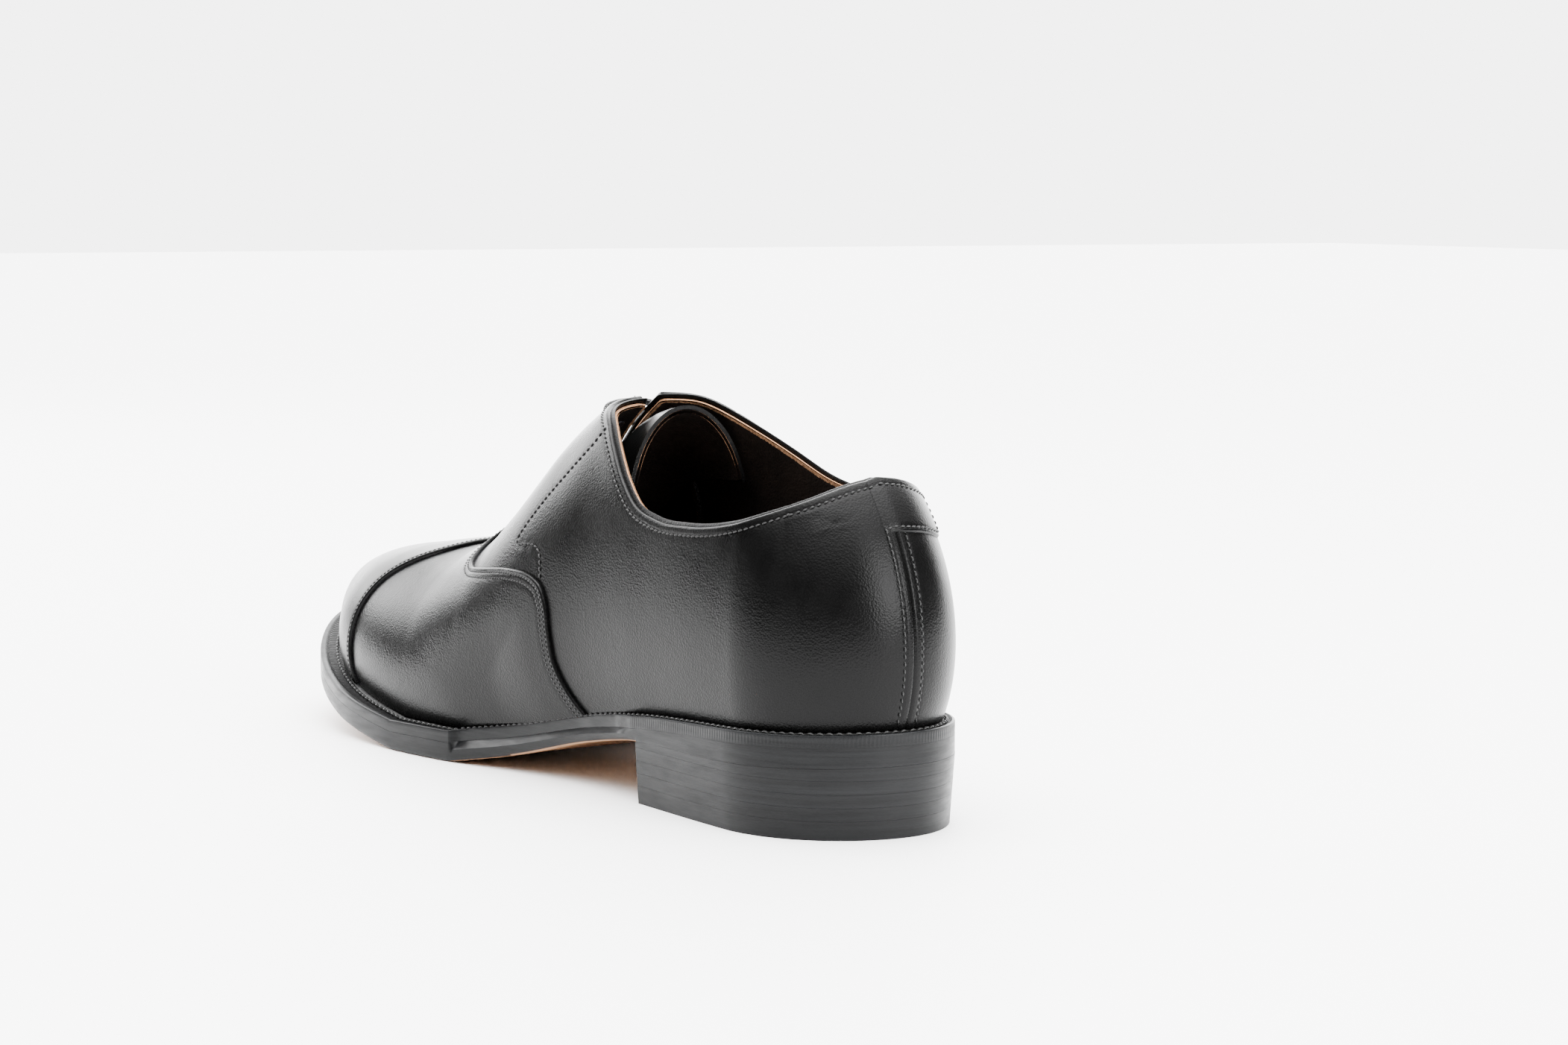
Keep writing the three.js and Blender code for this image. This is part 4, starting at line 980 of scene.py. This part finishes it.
quarter_rows = []
for s, word in ((1, "lateral"), (-1, "medial")):
    cut_holes(quarter(s, word), s, HOLE_RADIUS)
    line_t = np.linspace(.002, .545, 900)
    moved_t, moved_q = beside(s, line_t, top_q(s, line_t), s * TOPLINE_ROW)
    quarter_rows.append(on_skin(s, moved_t, moved_q, THREAD_HIGH + 0 * moved_t))
    line_q = np.linspace(.012, .485, 400)
    moved_t, moved_q = beside(s, 2e-4 + 0 * line_q, line_q, s * BACK_ROW)
    quarter_rows.append(on_skin(s, moved_t, moved_q, THREAD_HIGH + 0 * moved_t))
    u = np.linspace(0, 1, 500)
    line_t, line_q = hook_t(u), hook_q(u)
    shown = line_q < top_q(s, line_t) - .012
    quarter_rows.append(on_skin(s, line_t[shown], line_q[shown], 0 * line_q[shown]))
put_stitches("quarter_stitching", quarter_rows, thread, pitch=2.0, length=1.6, radius=.27,
             rise=.3, slant=.1)

# ---- Dog tail ----
# The lateral quarter's top runs on round the back seam and is sewn down on the medial
# quarter, with one row of stitches along its lower edge and its rounded end.
TAIL_START, TAIL_REACH, TAIL_DEPTH, TAIL_RAISE = .05, .155, 14, .7
TAIL_ROW, TAIL_ROUND = 1.5, .04


def side_of(t):
    """The side of a station that is counted on past the heel: medial ones are negative."""
    return np.where(t > 0, 1, -1)


def tail_low(t):
    """The tail's lower edge: level, then up round its end as a quarter of an ellipse."""
    past = np.maximum(0, (-t - TAIL_REACH + TAIL_ROUND) / TAIL_ROUND)
    depth = TAIL_DEPTH * np.sqrt(np.maximum(0, 1 - past ** 2))
    share = np.where(t > 0, collar_shares[1](np.abs(t)), collar_shares[-1](np.abs(t)))
    return q_at_height(side_of(t), np.abs(t), LAST_HEIGHT * share - depth)


# Even stations to where the end starts, then closer and closer ones.
t = np.concatenate([np.linspace(TAIL_START, -.1, 90),
                    -TAIL_REACH + .055 * np.linspace(1, 0, 60)[1:] ** 2])
side = side_of(t)
high_q, low_q = top_q(side, t), tail_low(t)
share = np.concatenate([NEAR / 30, np.linspace(.3, .55, 12)[1:], 1 - NEAR[:-3][::-1] / 16])
q = high_q + (low_q - high_q) * share[:, None]
side, t = np.broadcast_to(side, q.shape), np.broadcast_to(t, q.shape)
skin = face(side, np.abs(t), q)
fine_t = np.linspace(TAIL_START + .01, -TAIL_REACH, 900)
fine_side = side_of(fine_t)
low_line = face(fine_side, np.abs(fine_t), tail_low(fine_t))
top_line = face(fine_side, np.abs(fine_t), top_q(fine_side, fine_t))
d_low, d_top = distance(skin, low_line), distance(skin, top_line)
rise = -.4 + (TAIL_RAISE + .4) * smooth((TAIL_START - .012 - t) / .05)
high = (turned(np.minimum(d_low, d_top), 0.) + rise + furrow(d_low, TAIL_ROW)
        + furrow(d_top, TOPLINE_ROW))
high[0], high[-1] = -.6, -.3
outer, inner = leather(side, np.abs(t), q, high, np.minimum(high - .2, -.45 + 0 * high))
tail = put("dog_tail_leather", *shell(outer, inner), [calf])
line_t = np.linspace(.014, -TAIL_REACH + .0006, 500)
moved_t, moved_q = beside(1, line_t, tail_low(line_t), TAIL_ROW)
lift_off = smooth((TAIL_START - .02 - moved_t) / .05)
tail_rows = [on_skin(1, moved_t, moved_q, TAIL_RAISE * lift_off)]
line_t = np.linspace(0, -TAIL_REACH, 300)
moved_t, moved_q = beside(1, line_t, top_q(-1, line_t), -TOPLINE_ROW)
tail_rows.append(on_skin(1, moved_t, moved_q, TAIL_RAISE - .02 + 0 * moved_t))
put_stitches("dog_tail_stitching", tail_rows, thread, pitch=2.0, length=1.6, radius=.27,
             rise=.3, slant=.1)

# ---- Topline bead ----
# A narrow folded strip that stands up between the quarters and the lining, all round the
# opening from one facing's top corner to the other's.
BEAD_HALF, BEAD_TALL, BEAD_RISE, BEAD_DEPTH = .62, 1.9, 1.2, 1.75


def rim_frame(count, last):
    """The top edge from the lateral facing round the heel to the medial one, with the
    skin's direction out and the direction up, square to the edge."""
    t = np.concatenate([np.linspace(last, .0006, count), np.linspace(.0006, last, count)[1:]])
    side = np.concatenate([np.ones(count), -np.ones(count - 1)])
    line, way_out = face(side, t, top_q(side, t)), normal(side, t, top_q(side, t))
    way = unit(np.gradient(line, axis=0))
    return line, way_out, unit(np.cross(way_out, way))


def sweep(line, axis_a, axis_b, section):
    """A closed section carried along a line, at the line's own directions a and b, with its
    two ends closed to a point."""
    body = line[:, None] + axis_a[:, None] * section[..., :1] + axis_b[:, None] * section[..., 1:]
    ends = [np.broadcast_to(body[k].mean(0), body[k].shape) for k in (0, -1)]
    grid = np.concatenate([ends[0][None], body, ends[1][None]])
    wrapped = np.concatenate([grid, grid[:, :1]], 1)
    return wrapped.reshape(-1, 3), grid_faces(*wrapped.shape[:2])


line, way_out, way_up = rim_frame(420, TOP + .008)
around = np.linspace(0, 2 * np.pi, 16, endpoint=False)
section = np.stack([-BEAD_DEPTH + BEAD_HALF * np.cos(around),
                    BEAD_RISE - BEAD_TALL + BEAD_TALL * np.sin(around)], -1)
bead_calf, tree, shader = finish("bead_calf", 0.42, specular=0.07)
pores = place_group(tree, grain, Pebble=1700.0, Cloud=900.0)
wire(tree, shader,
     Base_Color=ramp(tree, pores.outputs["Tone"], [(0.3, 0.0013), (0.75, 0.0032)]),
     Roughness=ramp(tree, pores.outputs["Tone"], [(0.3, 0.38), (0.75, 0.5)]),
     Normal=bump(tree, pores.outputs["Height"], 0.00008))
bead = put("topline_bead_leather", *sweep(line, way_out, way_up, section), [bead_calf])
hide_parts("topline_bead_lateral", "topline_bead_medial")

# ---- Lining ----
# Dark napped leather inside the quarters. It is cut off raw just inside the bead, so its
# tan edge shows as a line all round the opening.
LINING_OUT, LINING, LINING_RISE = -2.45, 1.25, .35
LINING_ROWS = 40
nap, tree, shader = finish("dark_lining", 0.95, specular=0.1)
raw = node(tree, "ShaderNodeAttribute", attribute_name="raw").outputs["Fac"]
hair = place_group(tree, grain, Pebble=2600.0, Cloud=1500.0)
blot = place_group(tree, grain, Pebble=300.0, Cloud=60.0)
dark = ramp(tree, blot.outputs["Tone"], [(0.3, (0.004, 0.0024, 0.0018)),
                                         (0.75, (0.014, 0.0085, 0.006))])
tan = ramp(tree, hair.outputs["Tone"], [(0.3, (0.19, 0.088, 0.042)),
                                        (0.7, (0.42, 0.24, 0.135))])
ragged = node(tree, "ShaderNodeMath", {0: raw, 1: hair.outputs["Tone"]}, operation="MULTIPLY")
shown = ramp(tree, ragged.outputs[0], [(0.2, 0), (0.34, 1)])
# In a colour mix, sockets 0, 6 and 7 are the factor and the two colours, and 2 the result.
skin_mix = node(tree, "ShaderNodeMix", {0: shown, 6: dark, 7: tan}, data_type="RGBA")
wire(tree, shader, Base_Color=skin_mix.outputs[2],
     Normal=bump(tree, hair.outputs["Tone"], 0.0003))

for s, word in ((1, "lateral"), (-1, "medial")):
    t, q = down_grid(s, EDGE_END - .02, 240, LINING_ROWS, LINING_RISE)
    d = np.concatenate([NEAR, np.full(LINING_ROWS - 1, 20)])[:, None] + 0 * q
    high = LINING_OUT - .3 + turned(d, TURN * .4) - TURN * .1
    outer, inner = leather(s + 0 * t, t, q, high, high * 0 + LINING_OUT - LINING)
    mark = 1 - smooth((d - .5) / 1.3)
    made = put(f"quarter_lining_{word}_nap", *shell(outer, inner, behind_vamp(t, q, LINING_TUCK)),
               [nap], marks={"raw": np.concatenate([mark.ravel(), mark.ravel()])})
    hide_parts(f"quarter_lining_{word}")

# ---- Tongue ----
# A leaf of calf on a lining, sewn in at the throat. It lies arched under the facings, its
# broad round end leans back into the opening, and its raw edge shows tan underneath.
TONGUE_LENGTH, TONGUE_ROOT, TONGUE_WIDTH, TONGUE_TOP, TONGUE_RISE = 76, .548, 30, 40, 17
TONGUE_DEPTH, TONGUE_STITCH, TONGUE_CORNER, TONGUE_DROP = 8.35, 3.0, 9, 6
TONGUE_TURN = .6  # the radius of its rounded edge
root_t = np.linspace(TONGUE_ROOT, TOP + .012, 9)
under = face(1, root_t, 1 + 0 * root_t) - TONGUE_DEPTH * normal(1, root_t, 1 + 0 * root_t)
lean = unit(under[-1] - under[-2])
free = np.array([8., 16, 24])[:, None]
spine = np.concatenate([under, under[-1] + lean * free - free ** 2 * [.006, 0, .009]])
spine_run = run_along(spine)
spine_at = [curve(spine_run, spine[:, k]) for k in range(3)]


def tongue(u, v, deep):
    """A point of the tongue: u along its spine, v across from -1 to 1. Across, it is an arc
    of an ellipse, which grows from a shallow one at the root to a deep one at the end."""
    run = np.clip(u * (TONGUE_LENGTH - TONGUE_CORNER * np.abs(v) ** 3), 0, spine_run[-1])
    centre = np.stack([f(run) for f in spine_at], -1)
    way = unit(np.stack([f(run + .2) - f(run - .2) for f in spine_at], -1))
    stand = smooth(u)[..., None]
    up = unit(np.stack([way[..., 2], 0 * run, -way[..., 0]], -1) * (1 - .7 * stand)
              + np.array([0, 0, .7]) * stand)
    w = (TONGUE_WIDTH + (TONGUE_TOP - TONGUE_WIDTH) * u) / 2
    rise = TONGUE_RISE * (.35 + .65 * smooth(u)) + TONGUE_DROP * smooth((u - .5) * 2)
    whole = .5 + .8 * smooth((u - .45) / .5)
    at = v * whole
    tilt = -rise / w * np.sin(whole) / (1 - np.cos(whole)) * np.tan(at)
    n = np.hypot(1, tilt)
    drop = (-rise * (1 - np.cos(at)) / (1 - np.cos(whole)) - deep / n)[..., None] * up
    aside = w * np.sin(at) / np.sin(whole) + deep * tilt / n
    return centre + drop + np.stack([0 * u, aside, 0 * u], -1)


near = np.array([0, 0, .004, .012, .024, .04, .06, .09])
u = np.concatenate([np.linspace(0, .9, 60), 1 - near[::-1]])[:, None]
v = np.concatenate([-1 + near * 2.2, np.linspace(-.78, .78, 50), 1 - near[::-1] * 2.2])[None]
u, v = np.broadcast_arrays(u, v)
from_edge = np.minimum((1 - np.abs(v)) * 17, (1 - u) * TONGUE_LENGTH)
turn_in = TONGUE_TURN - np.minimum(from_edge, TONGUE_TURN)
round_off = TONGUE_TURN - np.sqrt(np.maximum(0, TONGUE_TURN ** 2 - turn_in ** 2))
groove = .14 * np.exp(-((from_edge - TONGUE_STITCH) / .5) ** 2)
outer = tongue(u, v, round_off + groove)
inner = tongue(u, v, 1.15 + 0 * u)
for g in (outer, inner):
    g[[0, -1]] = (outer[[0, -1]] + inner[[0, -1]]) / 2
tongue_calf = put("tongue_leather", *shell(outer, inner), [calf], body="tongue")
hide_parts("tongue")
su, sv = u * .985, v * .975
outer, inner = tongue(su, sv, 1.3 + 0 * u), tongue(su, sv, 2.3 + 0 * u)
edge_mark = (1 - smooth(((1 - u) * TONGUE_LENGTH - .6) / 1.2)) * smooth((.93 - np.abs(v)) / .1)
tongue_nap = put("tongue_lining_nap", *shell(outer, inner), [nap], body="tongue",
                 marks={"raw": np.concatenate([edge_mark.ravel(), edge_mark.ravel()])})
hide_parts("tongue_lining")

# ---- Lace ----
# One thin round waxed cord, straight bars over the facings, drawn tight, its ends tucked
# down inside. The holes are plain; their metal eyelets are set from the inside.
LACE, LACE_DEPTH, BAR_OVER = 2.2, 5.6, 1.5
LACE_SIDES = 8
lace_wax, tree, shader = finish("lace_wax", 0.45, specular=0.25)
braid = place_group(tree, grain, Pebble=1900.0, Cloud=600.0)
wire(tree, shader,
     Base_Color=ramp(tree, braid.outputs["Height"], [(0.1, 0.004), (0.6, 0.0015)]),
     Normal=bump(tree, braid.outputs["Height"], 0.00018))


def spot(s, i, depth, away=0.0):
    """A point at a depth under the skin, away from eyelet i on a side, off the ridge."""
    t = eyelets[s][0][i - 1:i]
    q = q_from_ridge(s, t, facing_half(t) + EYELET_INSET + away)
    return (face(s, t, q) - depth * normal(s, t, q))[0]


def climb(s, i):
    """Up through eyelet i and over its edge."""
    return [spot(s, i, LACE_DEPTH), spot(s, i, 2.6), spot(s, i, .4, -.1),
            spot(s, i, -LACE / 2 - .7, -1.0)]


def lace_bar(s, i):
    """From eyelet i on one side straight over the gap to its pair."""
    over = [spot(k, i, -LACE / 2 - BAR_OVER + .35, -EYELET_INSET * .62) for k in (s, -s)]
    return [*climb(s, i), *over, *climb(-s, i)[::-1]]


def side_run(s, i, way):
    """A run that passes eyelet i on the inside."""
    return [spot(s, i, LACE_DEPTH, way * (LACE + .8))]


def lace_tail(s, i, stops):
    """An end tucked down the side wall."""
    stop_t, stop_q, more = np.array(stops).T
    down = face(s, stop_t, stop_q) - (LACE_DEPTH + more)[:, None] * normal(s, stop_t, stop_q)
    return [spot(s, i, LACE_DEPTH, 4), *down]


low_end = lace_tail(1, 4, [(.5, .6, 0), (.505, .4, .3), (.52, .26, 1), (.56, .19, 1),
                           (.62, .18, 1.5), (.67, .18, 2.5)])
top_end = lace_tail(-1, 5, [(.476, .62, 0), (.48, .45, .1), (.5, .26, 1), (.54, .19, 1),
                            (.6, .18, 1.5), (.65, .18, 2.5)])
route = np.array([*low_end[::-1], *lace_bar(1, 4), *side_run(-1, 3, 1), *lace_bar(-1, 2),
                  *lace_bar(1, 1), *side_run(-1, 2, -1), *lace_bar(-1, 3), *side_run(1, 4, -1),
                  *lace_bar(1, 5), *top_end])
route_run = run_along(route, .5)
route_steps = np.linspace(0, route_run[-1], 1400)
line = np.stack([curve(route_run, route[:, k])(route_steps) for k in range(3)], -1)
way = unit(np.gradient(line, axis=0))
first = unit(np.cross(way, [.3, .1, 1]))
around = np.linspace(0, 2 * np.pi, LACE_SIDES, endpoint=False)
section = LACE / 2 * np.stack([np.cos(around), np.sin(around)], -1)
lace = put("lace_cord", *sweep(line, first, np.cross(way, first), section), [lace_wax])
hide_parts("lace")

# ---- Inner pieces ----
# What holds the shoe together inside keeps its own shape and gets its real finish: felt
# and board stiffeners, cork, a steel shank, brass nails and blackened eyelets.
def plain_finish(name, dark, light, roughness, scale, metallic=0.0, depth=0.0001):
    """A finish whose colour runs between two tones with its grain."""
    made, tree, shader = finish(name, roughness, metallic=metallic)
    speck = place_group(tree, grain, Pebble=scale, Cloud=scale / 3)
    wire(tree, shader,
         Base_Color=ramp(tree, speck.outputs["Tone"], [(0.3, dark), (0.7, light)]),
         Roughness=ramp(tree, speck.outputs["Tone"], [
             (0.3, roughness * .85), (0.7, min(1, roughness * 1.12))]),
         Normal=bump(tree, speck.outputs["Height"], depth))
    return made


stiffener = plain_finish("stiffener", (.34, .26, .17), (.5, .4, .28), .9, 1200.0)
cork = plain_finish("cork", (.16, .09, .045), (.42, .27, .15), .95, 700.0, depth=.0006)
steel = plain_finish("steel", (.32, .33, .35), (.46, .47, .5), .35, 400.0, 1.0, .00002)
brass = plain_finish("brass", (.45, .29, .09), (.6, .42, .16), .3, 400.0, 1.0, .00002)
eyelet_black = plain_finish("eyelet", (.015, .015, .016), (.05, .05, .055), .38, 900.0, .8,
                            .00002)
insole_tan = plain_finish("insole_tan", (.3, .17, .09), (.45, .28, .16), .6, 800.0)
aglet_black = plain_finish("aglet", (.006, .006, .006), (.015, .015, .016), .25, 600.0)
INNER_FINISH = {"toe_puff": stiffener, "heel_counter": stiffener, "side_lining": stiffener,
                "facing_stay": stiffener, "vamp_lining": insole_tan, "insole": insole_tan,
                "cork_filler": cork, "shank": steel, "heel_nail": brass,
                "eyelet": eyelet_black, "aglet": aglet_black, "sock_liner": nap}
for name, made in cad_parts.items():
    if made.hide_render:
        continue
    chosen = next((f for start, f in INNER_FINISH.items() if name.startswith(start)), calf)
    made.data.materials.clear()
    made.data.materials.append(chosen)
